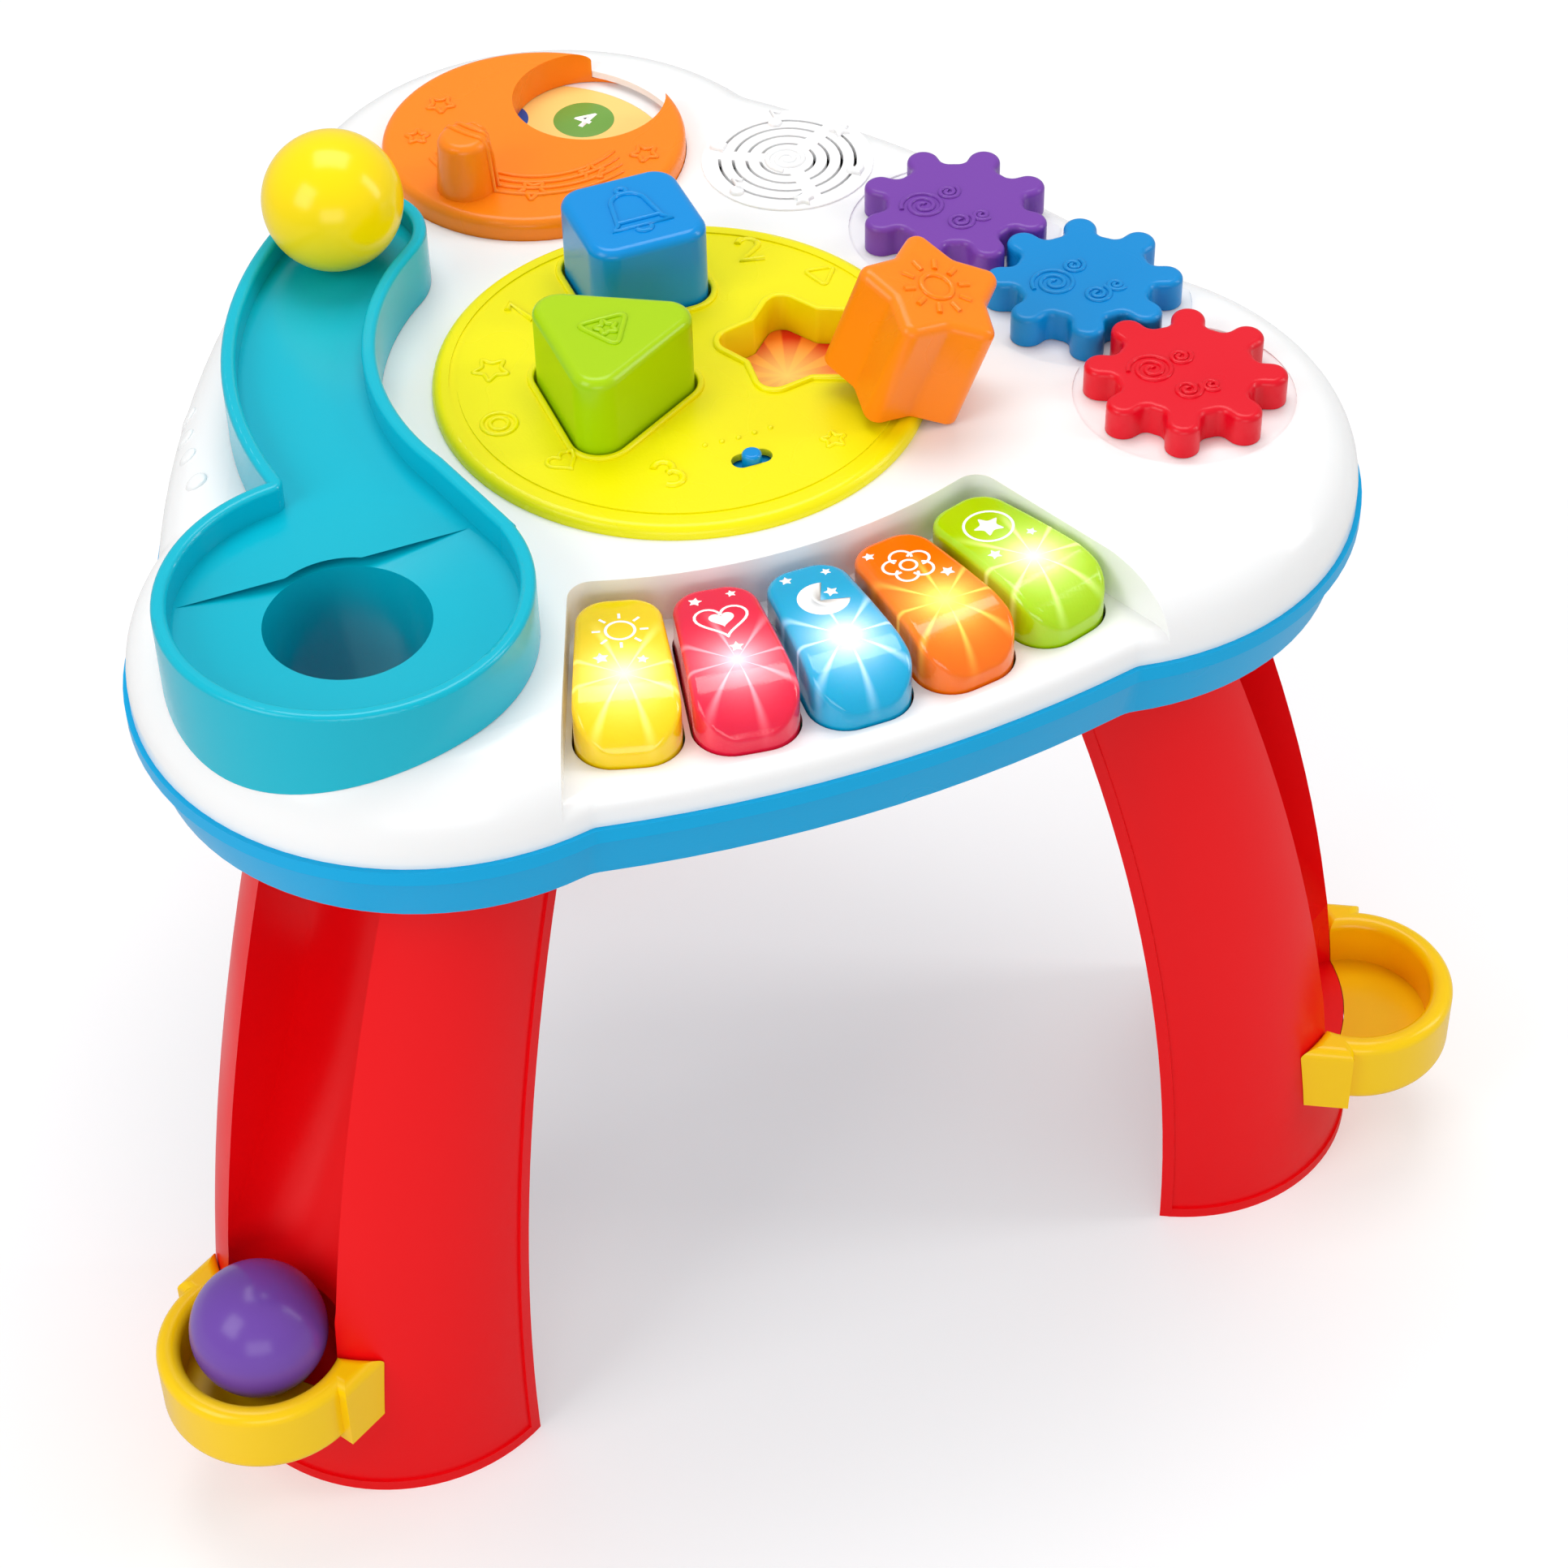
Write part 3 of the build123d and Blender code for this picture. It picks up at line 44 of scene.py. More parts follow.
print("stage: frame loaded,", len(nodes), "nodes")

mm = 0.001
tableY = -63.5    # the table's centre line point, from the frame's origin
deckZ = 374.0     # flat deck above the floor
fanY = 105.0      # the keys fan out from here
dropHeight = 0.12    # plans are dropped onto the nodes from this far above the deck, in metres
wellPlaces = {"square": (4.3, 58.5), "triangle": (-31.0, -7.0), "star": (42.0, -2.0)}


def newGroup(name, inputs, outputs):
    group = bpy.data.node_groups.new(name, "ShaderNodeTree")
    for label, kind, value in inputs:
        socket = group.interface.new_socket(label, in_out="INPUT", socket_type=kind)
        if value is not None:
            socket.default_value = value
    for label, kind in outputs:
        group.interface.new_socket(label, in_out="OUTPUT", socket_type=kind)
    return group, group.nodes.new("NodeGroupInput"), group.nodes.new("NodeGroupOutput")


def addMath(group, operation, first=None, second=None, clamp=False):
    node = group.nodes.new("ShaderNodeMath")
    node.operation = operation
    node.use_clamp = clamp
    for socket, value in zip(node.inputs, (first, second)):
        if isinstance(value, (int, float)):
            socket.default_value = value
        elif value is not None:
            group.links.new(value, socket)
    return node.outputs[0]


def addMix(group, factor, first, second):
    node = group.nodes.new("ShaderNodeMix")
    node.data_type = "RGBA"
    for label, value in (("Factor", factor), ("A", first), ("B", second)):
        socket = [s for s in node.inputs if s.name == label and s.enabled][0]
        if hasattr(value, "links"):
            group.links.new(value, socket)
        else:
            socket.default_value = value
    return [s for s in node.outputs if s.enabled][0]


def localOffset(group, centre):
    coords = group.nodes.new("ShaderNodeTexCoord")
    offset = group.nodes.new("ShaderNodeVectorMath")
    offset.operation = "SUBTRACT"
    group.links.new(coords.outputs["Object"], offset.inputs[0])
    group.links.new(centre, offset.inputs[1])
    return offset.outputs["Vector"]


def buildGrainGroup():
    # moulded plastic: a fine grain, and a slow mask that varies the polish
    group, source, sink = newGroup("mouldedGrain",
        [("Scale", "NodeSocketFloat", 900.0), ("Depth", "NodeSocketFloat", 0.05)],
        [("Normal", "NodeSocketVector"), ("Polish", "NodeSocketFloat")])
    coords = group.nodes.new("ShaderNodeTexCoord").outputs["Object"]
    fine = group.nodes.new("ShaderNodeTexNoise")
    fine.inputs["Detail"].default_value = 3.0
    slow = group.nodes.new("ShaderNodeTexNoise")
    slow.inputs["Scale"].default_value = 14.0
    fineBump = group.nodes.new("ShaderNodeBump")
    fineBump.inputs["Distance"].default_value = 0.0004
    for noise in (fine, slow):
        group.links.new(coords, noise.inputs["Vector"])
    for start, end in ((source.outputs["Scale"], fine.inputs["Scale"]),
                       (source.outputs["Depth"], fineBump.inputs["Strength"]),
                       (fine.outputs["Fac"], fineBump.inputs["Height"]),
                       (fineBump.outputs["Normal"], sink.inputs["Normal"]),
                       (slow.outputs["Fac"], sink.inputs["Polish"])):
        group.links.new(start, end)
    return group


burstShape = {"core": 3.2, "blade": 26.0, "fade": 1.3}    # how sharply the heart, the rays' sides and their ends fall


def buildGlowGroup():
    # light that a lamp under a translucent cap spreads through it, brightest over the lamp, with rays round it
    group, source, sink = newGroup("lampGlow",
        [("Centre", "NodeSocketVector", None), ("Reach", "NodeSocketFloat", 0.03), ("Cap", "NodeSocketColor", None),
         ("Heart", "NodeSocketColor", None), ("Halo", "NodeSocketFloat", 0.2), ("Rays", "NodeSocketFloat", 4.0)],
        [("Color", "NodeSocketColor"), ("Light", "NodeSocketColor")])
    offset = localOffset(group, source.outputs["Centre"])
    length = group.nodes.new("ShaderNodeVectorMath")
    length.operation = "LENGTH"
    group.links.new(offset, length.inputs[0])
    share = addMath(group, "DIVIDE", length.outputs["Value"], source.outputs["Reach"])
    near = addMath(group, "SUBTRACT", 1.0, share, clamp=True)
    core = addMath(group, "POWER", near, burstShape["core"])
    parts = group.nodes.new("ShaderNodeSeparateXYZ")
    group.links.new(offset, parts.inputs["Vector"])
    turn = addMath(group, "ARCTAN2", parts.outputs["Y"], parts.outputs["X"])
    swing = addMath(group, "COSINE", addMath(group, "MULTIPLY", turn, source.outputs["Rays"]))
    blade = addMath(group, "POWER", addMath(group, "ABSOLUTE", swing), burstShape["blade"])
    rays = addMath(group, "MULTIPLY", blade, addMath(group, "POWER", near, burstShape["fade"]))
    burst = addMath(group, "MAXIMUM", core, rays)
    spread = addMath(group, "MULTIPLY", near, source.outputs["Halo"])
    light = addMath(group, "ADD", burst, spread, clamp=True)
    tinted = addMix(group, burst, source.outputs["Cap"], source.outputs["Heart"])
    group.links.new(tinted, sink.inputs["Color"])
    group.links.new(addMix(group, light, (0.0, 0.0, 0.0, 1.0), tinted), sink.inputs["Light"])
    return group


def buildRayGroup():
    # printed sunburst: rays round a centre, paler towards the middle
    group, source, sink = newGroup("sunRays",
        [("Centre", "NodeSocketVector", None), ("Count", "NodeSocketFloat", 9.0), ("Reach", "NodeSocketFloat", 0.03),
         ("Dark", "NodeSocketColor", None), ("Light", "NodeSocketColor", None), ("Heart", "NodeSocketColor", None)],
        [("Color", "NodeSocketColor")])
    offset = localOffset(group, source.outputs["Centre"])
    parts = group.nodes.new("ShaderNodeSeparateXYZ")
    length = group.nodes.new("ShaderNodeVectorMath")
    length.operation = "LENGTH"
    group.links.new(offset, parts.inputs["Vector"])
    group.links.new(offset, length.inputs[0])
    turn = addMath(group, "ARCTAN2", parts.outputs["Y"], parts.outputs["X"])
    wave = addMath(group, "SINE", addMath(group, "MULTIPLY", turn, source.outputs["Count"]))
    crisp = 2.5    # the higher, the sharper the edges of the rays
    edge = addMath(group, "ADD", addMath(group, "MULTIPLY", wave, crisp), 0.5, clamp=True)
    far = addMath(group, "DIVIDE", length.outputs["Value"], source.outputs["Reach"], clamp=True)
    rays = addMix(group, edge, source.outputs["Dark"], source.outputs["Light"])
    group.links.new(addMix(group, far, source.outputs["Heart"], rays), sink.inputs["Color"])
    return group


grainGroup = buildGrainGroup()
glowGroup = buildGlowGroup()
rayGroup = buildRayGroup()


def srgb(red, green, blue):
    return tuple(c / 12.92 if c <= 0.04045 else ((c + 0.055) / 1.055) ** 2.4 for c in (red, green, blue)) + (1.0,)


def setSockets(shader, values):
    for label, value in values.items():
        shader.inputs[label].default_value = value


def moulded(name, color, rough=0.24, depth=0.05, scale=900.0, scatter=0.0, **extra):
    material = bpy.data.materials.new(name)
    material.use_nodes = True
    tree, links = material.node_tree.nodes, material.node_tree.links
    shader = tree["Principled BSDF"]
    grain = tree.new("ShaderNodeGroup")
    grain.node_tree = grainGroup
    setSockets(grain, {"Scale": scale, "Depth": depth})
    polish = tree.new("ShaderNodeMapRange")
    setSockets(polish, {"From Min": 0.3, "From Max": 0.7, "To Min": rough * 0.85, "To Max": rough * 1.2})
    links.new(grain.outputs["Normal"], shader.inputs["Normal"])
    links.new(grain.outputs["Polish"], polish.inputs["Value"])
    links.new(polish.outputs["Result"], shader.inputs["Roughness"])
    setSockets(shader, {"Base Color": color, "IOR": 1.46, "Specular IOR Level": 0.38})
    if scatter:
        setSockets(shader, {"Subsurface Weight": scatter, "Subsurface Scale": 0.004,
                            "Subsurface Radius": (1.0, 0.8, 0.7)})
    setSockets(shader, extra)
    return material


def onDeck(x, y, z=0.0):
    return Vector((x * mm, (y + tableY) * mm, (deckZ + z) * mm))


def dress(material, *names):
    for name in names:
        slots = nodes[name].data.materials
        if not slots:
            slots.append(material)
        for place in range(len(slots)):
            slots[place] = material


plastics = {
    "shellWhite": {"color": srgb(0.975, 0.975, 0.975), "rough": 0.2, "scatter": 0.1,
                   "on": ("top_shell", "dial_plate")},
    "trayBlue": {"color": srgb(0.0, 0.66, 0.88), "rough": 0.32, "depth": 0.08, "Specular IOR Level": 0.2,
                 "on": ("base_tray", "battery_door")},
    "legRed": {"color": srgb(0.95, 0.02, 0.06), "rough": 0.32, "depth": 0.08, "Specular IOR Level": 0.25,
               "on": ("leg_left", "leg_right", "leg_back")},
    "cupYellow": {"color": srgb(1.0, 0.82, 0.0), "rough": 0.22, "on": ("cup_left", "cup_right", "cup_back")},
    "slideTurquoise": {"color": srgb(0.0, 0.71, 0.80), "rough": 0.2, "scatter": 0.08, "on": ("ball_ramp",)},
    "plateYellow": {"color": srgb(0.95, 0.91, 0.0), "rough": 0.27, "depth": 0.12, "scatter": 0.08,
                    "on": ("sorter_plate",)},
    "blockBlue": {"color": srgb(0.0, 0.55, 0.85), "rough": 0.2, "on": ("block_square", "switch_knob")},
    "blockLime": {"color": srgb(0.66, 0.82, 0.0), "rough": 0.22, "scatter": 0.06, "on": ("block_triangle",)},
    "warmOrange": {"color": srgb(1.0, 0.53, 0.06), "rough": 0.27, "depth": 0.08, "scatter": 0.08,
                   "on": ("block_star", "moon_spinner")},
    "gearPurple": {"color": srgb(0.47, 0.25, 0.66), "rough": 0.3, "depth": 0.1, "on": ("gear_purple",)},
    "gearBlue": {"color": srgb(0.0, 0.54, 0.82), "rough": 0.3, "depth": 0.1, "on": ("gear_blue",)},
    "gearRed": {"color": srgb(0.88, 0.02, 0.13), "rough": 0.3, "depth": 0.1, "on": ("gear_red",)},
    "ballPurple": {"color": srgb(0.45, 0.29, 0.68), "rough": 0.2, "depth": 0.0, "on": ("ball_purple",)},
    "ballYellow": {"color": srgb(1.0, 0.87, 0.0), "rough": 0.2, "depth": 0.0, "on": ("ball_yellow",)},
    "blackPlastic": {"color": srgb(0.08, 0.08, 0.09), "rough": 0.5, "on": ("key_frame", "switch_body",
                     "speaker_frame")},
    "boardLacquer": {"color": srgb(0.05, 0.33, 0.16), "rough": 0.35, "on": ("key_board", "main_board")},
    "siliconeRubber": {"color": srgb(0.75, 0.75, 0.76), "rough": 0.6,
                       "on": tuple(f"key_dome_{count}" for count in range(1, 6))},
    "screwSteel": {"color": srgb(0.74, 0.75, 0.77), "rough": 0.3, "Metallic": 1.0,
                   "on": ("housing_screws", "leg_screws", "inner_screws", "door_screw", "battery_contacts",
                          "gear_screw_purple", "gear_screw_blue", "gear_screw_red")},
    "lampClear": {"color": srgb(0.97, 0.96, 0.90), "rough": 0.1, "on": ("key_lamps",)},
    "coneCloth": {"color": srgb(0.12, 0.12, 0.13), "rough": 0.85, "scale": 300.0, "depth": 0.3,
                  "on": ("speaker_cone",)},
    "cellJacket": {"color": srgb(0.14, 0.14, 0.17), "rough": 0.35, "on": ("battery_cells",)},
    "labelCream": {"color": srgb(0.99, 0.85, 0.50), "rough": 0.35, "depth": 0.0, "on": ("dial_label",)},
    "inkWhite": {"color": srgb(1.0, 1.0, 1.0), "rough": 0.35, "depth": 0.0, "on": ()},
}
finish = {}
for name, look in plastics.items():
    finish[name] = moulded(name, **{label: value for label, value in look.items() if label != "on"})
    dress(finish[name], *look["on"])

floorArt = {
    "square": {"count": 8.0, "dark": srgb(0.05, 0.40, 0.80), "light": srgb(0.25, 0.66, 0.93)},
    "triangle": {"count": 6.0, "dark": srgb(0.40, 0.70, 0.12), "light": srgb(0.66, 0.85, 0.25)},
    "star": {"count": 10.0, "dark": srgb(0.90, 0.16, 0.06), "light": srgb(1.0, 0.50, 0.12)},
}
inlayArt = {"depth": 10.0, "reach": 0.024, "heart": srgb(1.0, 0.86, 0.45)}
for shape, look in floorArt.items():
    material = moulded(f"{shape}_inlay_print", look["light"], rough=0.35, depth=0.0)
    rays = material.node_tree.nodes.new("ShaderNodeGroup")
    rays.node_tree = rayGroup
    setSockets(rays, {"Centre": onDeck(*wellPlaces[shape], -inlayArt["depth"]), "Count": look["count"],
                      "Reach": inlayArt["reach"], "Dark": look["dark"], "Light": look["light"],
                      "Heart": inlayArt["heart"]})
    shader = material.node_tree.nodes["Principled BSDF"]
    material.node_tree.links.new(rays.outputs["Color"], shader.inputs["Base Color"])
    dress(material, f"{shape}_inlay")


def fanPoint(angle, radius):
    turn = math.radians(angle)
    return (radius * math.sin(turn), fanY - radius * math.cos(turn))


keyLooks = {
    "yellow": {"angle": -17.4, "cap": srgb(0.99, 0.83, 0.0), "heart": srgb(1.0, 1.0, 0.75)},
    "pink": {"angle": -8.7, "cap": srgb(0.93, 0.08, 0.25), "heart": srgb(1.0, 0.80, 0.84)},
    "blue": {"angle": 0.0, "cap": srgb(0.0, 0.66, 0.84), "heart": srgb(1.0, 1.0, 1.0)},
    "orange": {"angle": 8.7, "cap": srgb(1.0, 0.45, 0.0), "heart": srgb(1.0, 0.97, 0.45)},
    "green": {"angle": 17.4, "cap": srgb(0.67, 0.84, 0.0), "heart": srgb(1.0, 1.0, 0.80)},
}
keyGlow = {"radius": 262.0, "drop": 3.0, "reach": 0.032, "halo": 0.30, "rays": 4.0, "power": 1.1, "rough": 0.14,
           "ribScale": 560.0, "ribDepth": 0.10}


def translucentCap(name, look):
    material = moulded(name, look["cap"], rough=keyGlow["rough"], depth=0.0)
    tree, links = material.node_tree.nodes, material.node_tree.links
    shader = tree["Principled BSDF"]
    glow = tree.new("ShaderNodeGroup")
    glow.node_tree = glowGroup
    centre = onDeck(*fanPoint(look["angle"], keyGlow["radius"]), -keyGlow["drop"])
    setSockets(glow, {"Centre": centre, "Reach": keyGlow["reach"], "Cap": look["cap"], "Heart": look["heart"],
                      "Halo": keyGlow["halo"], "Rays": keyGlow["rays"]})
    links.new(glow.outputs["Color"], shader.inputs["Base Color"])
    links.new(glow.outputs["Light"], shader.inputs["Emission Color"])
    ribs = tree.new("ShaderNodeTexVoronoi")    # prism grid moulded inside the cap
    ribs.distance = "CHEBYCHEV"
    setSockets(ribs, {"Scale": keyGlow["ribScale"], "Randomness": 0.0})
    coords = tree.new("ShaderNodeTexCoord")
    bump = tree.new("ShaderNodeBump")
    setSockets(bump, {"Strength": keyGlow["ribDepth"], "Distance": 0.0006})
    links.new(coords.outputs["Object"], ribs.inputs["Vector"])
    links.new(ribs.outputs["Distance"], bump.inputs["Height"])
    links.new(bump.outputs["Normal"], shader.inputs["Normal"])
    setSockets(shader, {"Emission Strength": keyGlow["power"], "Subsurface Weight": 0.25, "Subsurface Scale": 0.006,
                        "Coat Weight": 0.5, "Coat Roughness": 0.05})
    return material


for name, look in keyLooks.items():
    dress(translucentCap(f"capGlow_{name}", look), f"key_{name}")
print("stage: finishes on the frame")

surfaces = {}


def surfaceOf(node):
    if node not in surfaces:
        data = nodes[node].data
        surfaces[node] = BVHTree.FromPolygons([v.co for v in data.vertices], [p.vertices for p in data.polygons])
    return surfaces[node]


def deckFrame(x, y, turn=0.0):
    return Matrix.Translation(onDeck(x, y)) @ Matrix.Rotation(math.radians(turn), 4, "Z")


def drape(path, node, place):
    # points of a plan, in mm, dropped onto a node along the plan's own vertical
    down = place.to_3x3() @ Vector((0, 0, -1))
    laid = []
    for x, y in path:
        top = place @ Vector((x * mm, y * mm, dropHeight))
        hit = surfaceOf(node).ray_cast(top, down)[0]
        laid.append(hit if hit is not None else laid[-1] if laid else place @ Vector((x * mm, y * mm, 0)))
    return laid


def addPiece(mesh, name, material, node):
    obj = bpy.data.objects.new(name, mesh)
    bpy.context.scene.collection.objects.link(obj)
    mesh.materials.clear()
    mesh.materials.append(material)
    for polygon in mesh.polygons:
        polygon.use_smooth = True
    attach(obj, nodeBody[node])
    return obj


def buildBeadTree():
    # a raised line that follows a path, flat underneath and round on top
    tree = bpy.data.node_groups.new("beadRelief", "GeometryNodeTree")
    for label, kind in (("Path", "NodeSocketGeometry"), ("Width", "NodeSocketFloat"), ("Rise", "NodeSocketFloat"),
                        ("Finish", "NodeSocketMaterial")):
        tree.interface.new_socket(label, in_out="INPUT", socket_type=kind)
    tree.interface.new_socket("Relief", in_out="OUTPUT", socket_type="NodeSocketGeometry")
    make = tree.nodes.new
    source, sink = make("NodeGroupInput"), make("NodeGroupOutput")
    toCurve, upright = make("GeometryNodeMeshToCurve"), make("GeometryNodeSetCurveNormal")
    upright.mode = "Z_UP"
    profile = make("GeometryNodeCurvePrimitiveCircle")
    setSockets(profile, {"Resolution": 12, "Radius": 1.0})
    half = make("ShaderNodeMath")
    half.operation = "MULTIPLY"
    half.inputs[1].default_value = 0.5
    size, shaped = make("ShaderNodeCombineXYZ"), make("GeometryNodeTransform")
    size.inputs["Z"].default_value = 1.0
    sweep, plain = make("GeometryNodeCurveToMesh"), make("GeometryNodeRealizeInstances")
    paint = make("GeometryNodeSetMaterial")
    sweep.inputs["Fill Caps"].default_value = True
    for start, end in ((source.outputs["Path"], toCurve.inputs["Mesh"]),
                       (toCurve.outputs["Curve"], upright.inputs["Curve"]),
                       (source.outputs["Width"], half.inputs[0]),
                       (half.outputs[0], size.inputs["X"]),
                       (source.outputs["Rise"], size.inputs["Y"]),
                       (profile.outputs["Curve"], shaped.inputs["Geometry"]),
                       (size.outputs["Vector"], shaped.inputs["Scale"]),
                       (upright.outputs["Curve"], sweep.inputs["Curve"]),
                       (shaped.outputs["Geometry"], sweep.inputs["Profile Curve"]),
                       (sweep.outputs["Mesh"], plain.inputs["Geometry"]),
                       (plain.outputs["Geometry"], paint.inputs["Geometry"]),
                       (source.outputs["Finish"], paint.inputs["Material"]),
                       (paint.outputs["Geometry"], sink.inputs["Relief"])):
        tree.links.new(start, end)
    return tree


beadTree = buildBeadTree()


def runTree(mesh, name, tree, values):
    # the tree's result as a plain mesh
    holder = bpy.data.objects.new(f"{name}_path", mesh)
    bpy.context.scene.collection.objects.link(holder)
    modifier = holder.modifiers.new("relief", "NODES")
    modifier.node_group = tree
    for item in tree.interface.items_tree:
        if item.in_out == "INPUT" and item.name in values:
            modifier[item.identifier] = values[item.name]
    result = bpy.data.meshes.new_from_object(holder.evaluated_get(bpy.context.evaluated_depsgraph_get()))
    bpy.data.objects.remove(holder)
    result.name = name
    return result


def beadPiece(name, paths, node, material, width, rise, place=None):
    # paths: lists of (x, y) in mm; a path that ends where it starts is closed
    points, edges = [], []
    for path in paths:
        closed = math.dist(path[0], path[-1]) < 1e-6
        laid = drape(path[:-1] if closed else path, node, place or deckFrame(0, 0))
        first = len(points)
        points += laid
        edges += [(first + step, first + step + 1) for step in range(len(laid) - 1)]
        if closed:
            edges.append((len(points) - 1, first))
    mesh = bpy.data.meshes.new(f"{name}_line")
    mesh.from_pydata(points, edges, [])
    made = runTree(mesh, name, beadTree, {"Width": width * mm, "Rise": rise * mm, "Finish": material})
    return addPiece(made, name, material, node)


def padPiece(name, outlines, node, material, rise, place=None, sunk=0.3, rings=4, soft=0.35):
    # raised solid shapes: each outline is carried in towards its middle, rounded at the edge
    points, faces = [], []
    place = place or deckFrame(0, 0)
    up = place.to_3x3() @ Vector((0, 0, 1))
    for outline in outlines:
        loop = outline[:-1] if math.dist(outline[0], outline[-1]) < 1e-6 else outline
        area = sum(a[0] * b[1] - b[0] * a[1] for a, b in zip(loop, loop[1:] + loop[:1]))
        loop = loop if area > 0 else loop[::-1]
        middle = (sum(p[0] for p in loop) / len(loop), sum(p[1] for p in loop) / len(loop))
        count, first = len(loop), len(points)
        steps = [(1.0, -sunk)] + [(1.0 - soft * (1 - math.cos(math.pi / 2 * t / rings)),
                                   rise * math.sin(math.pi / 2 * t / rings)) for t in range(rings + 1)]
        for share, height in steps:
            ring = [(middle[0] + (x - middle[0]) * share, middle[1] + (y - middle[1]) * share) for x, y in loop]
            points += [spot + up * height * mm for spot in drape(ring, node, place)]
        points.append(drape([middle], node, place)[0] + up * rise * mm)
        for level in range(len(steps) - 1):
            low, high = first + level * count, first + (level + 1) * count
            faces += [(low + i, low + (i + 1) % count, high + (i + 1) % count, high + i) for i in range(count)]
        top = first + (len(steps) - 1) * count
        faces += [(top + i, top + (i + 1) % count, len(points) - 1) for i in range(count)]
        faces.append(tuple(first + i for i in reversed(range(count))))
    mesh = bpy.data.meshes.new(name)
    mesh.from_pydata(points, [], faces)
    return addPiece(mesh, name, material, node)


def place2d(path, x, y, turn=0.0, scale=1.0):
    along, across = scale * math.cos(math.radians(turn)), scale * math.sin(math.radians(turn))
    return [(x + u * along - v * across, y + u * across + v * along) for u, v in path]


def arcPath(x, y, radius, start, end, count=32):
    turns = [math.radians(start + (end - start) * step / count) for step in range(count + 1)]
    return [(x + radius * math.cos(turn), y + radius * math.sin(turn)) for turn in turns]


def ringPath(x, y, radius, count=40):
    path = arcPath(x, y, radius, 0, 360, count)
    return path[:-1] + path[:1]


def spiralPath(x, y, radius, turns=2.2, start=0.0, count=60, inner=0.12):
    path = []
    for step in range(count + 1):
        share = step / count
        turn = math.radians(start + 360 * turns * share)
        reach = radius * (inner + (1 - inner) * share)
        path.append((x + reach * math.cos(turn), y + reach * math.sin(turn)))
    return path


def roundedLoop(corners, radius, arcCount=5):
    # a polygon with its corners eased by short curves
    loop = []
    for index, corner in enumerate(corners):
        before, after = Vector(corners[index - 1]), Vector(corners[(index + 1) % len(corners)])
        corner = Vector(corner)
        reach = min(radius, (before - corner).length * 0.48, (after - corner).length * 0.48)
        start, end = corner + (before - corner).normalized() * reach, corner + (after - corner).normalized() * reach
        for step in range(arcCount + 1):
            share = step / arcCount
            spot = start.lerp(corner, share).lerp(corner.lerp(end, share), share)
            loop.append(tuple(spot))
    return loop + loop[:1]


def starLoop(x, y, tip, waist=0.48, turn=90.0, ease=0.18, points=5):
    corners = []
    for step in range(2 * points):
        reach = tip if step % 2 == 0 else tip * waist
        angle = math.radians(turn + 180 / points * step)
        corners.append((x + reach * math.cos(angle), y + reach * math.sin(angle)))
    return roundedLoop(corners, tip * ease, 3)


def heartLoop(x, y, size, turn=0.0, count=40):
    loop = []
    for step in range(count):
        t = 2 * math.pi * step / count
        v = (13 * math.cos(t) - 5 * math.cos(2 * t) - 2 * math.cos(3 * t) - math.cos(4 * t)) / 16
        loop.append((math.sin(t) ** 3, v))
    return place2d(loop + loop[:1], x, y, turn, size)


def crescentLoop(x, y, radius, turn=0.0, bite=0.78, shift=0.42):
    # outer arc and the arc bitten out of it, tip to tip
    biteR = radius * bite
    offset = radius * shift
    along = (offset * offset + radius * radius - biteR * biteR) / (2 * offset)
    tipTurn = math.degrees(math.acos(along / radius))
    biteTurn = math.degrees(math.acos((along - offset) / biteR))
    outer = arcPath(0, 0, radius, tipTurn, 360 - tipTurn, 30)
    inner = arcPath(offset, 0, biteR, 360 - biteTurn, biteTurn, 22)
    return place2d(outer[:-1] + inner, x, y, turn)


def rayPaths(inner, outer, count):
    # short straight rays round the middle
    turns = [2 * math.pi * step / count for step in range(count)]
    return [[(math.cos(turn) * reach, math.sin(turn) * reach) for reach in (inner, outer)] for turn in turns]


def petalPaths(spread, radius, opening, count):
    # open arcs round the middle, as the edge of a flower
    turns = [90 + 360 / count * step for step in range(count)]
    return [arcPath(spread * math.cos(math.radians(turn)), spread * math.sin(math.radians(turn)), radius,
                    turn - opening, turn + opening, 16) for turn in turns]


numerals = {    # centre lines of plain figures, in a box 10 wide and 14 high
    "1": [[(-2.5, 4.5), (0.8, 7.0), (0.8, -7.0)]],
    "2": [arcPath(0, 3, 4, 160, -35, 14) + [(-4.2, -7.0), (4.6, -7.0)]],
    "3": [arcPath(-0.2, 3.4, 3.6, 150, -80, 12) + arcPath(-0.2, -3.3, 3.9, 80, -150, 14)],
}


def fanFrame(angle, radius):
    x, y = fanPoint(angle, radius)
    return deckFrame(x, y, angle)


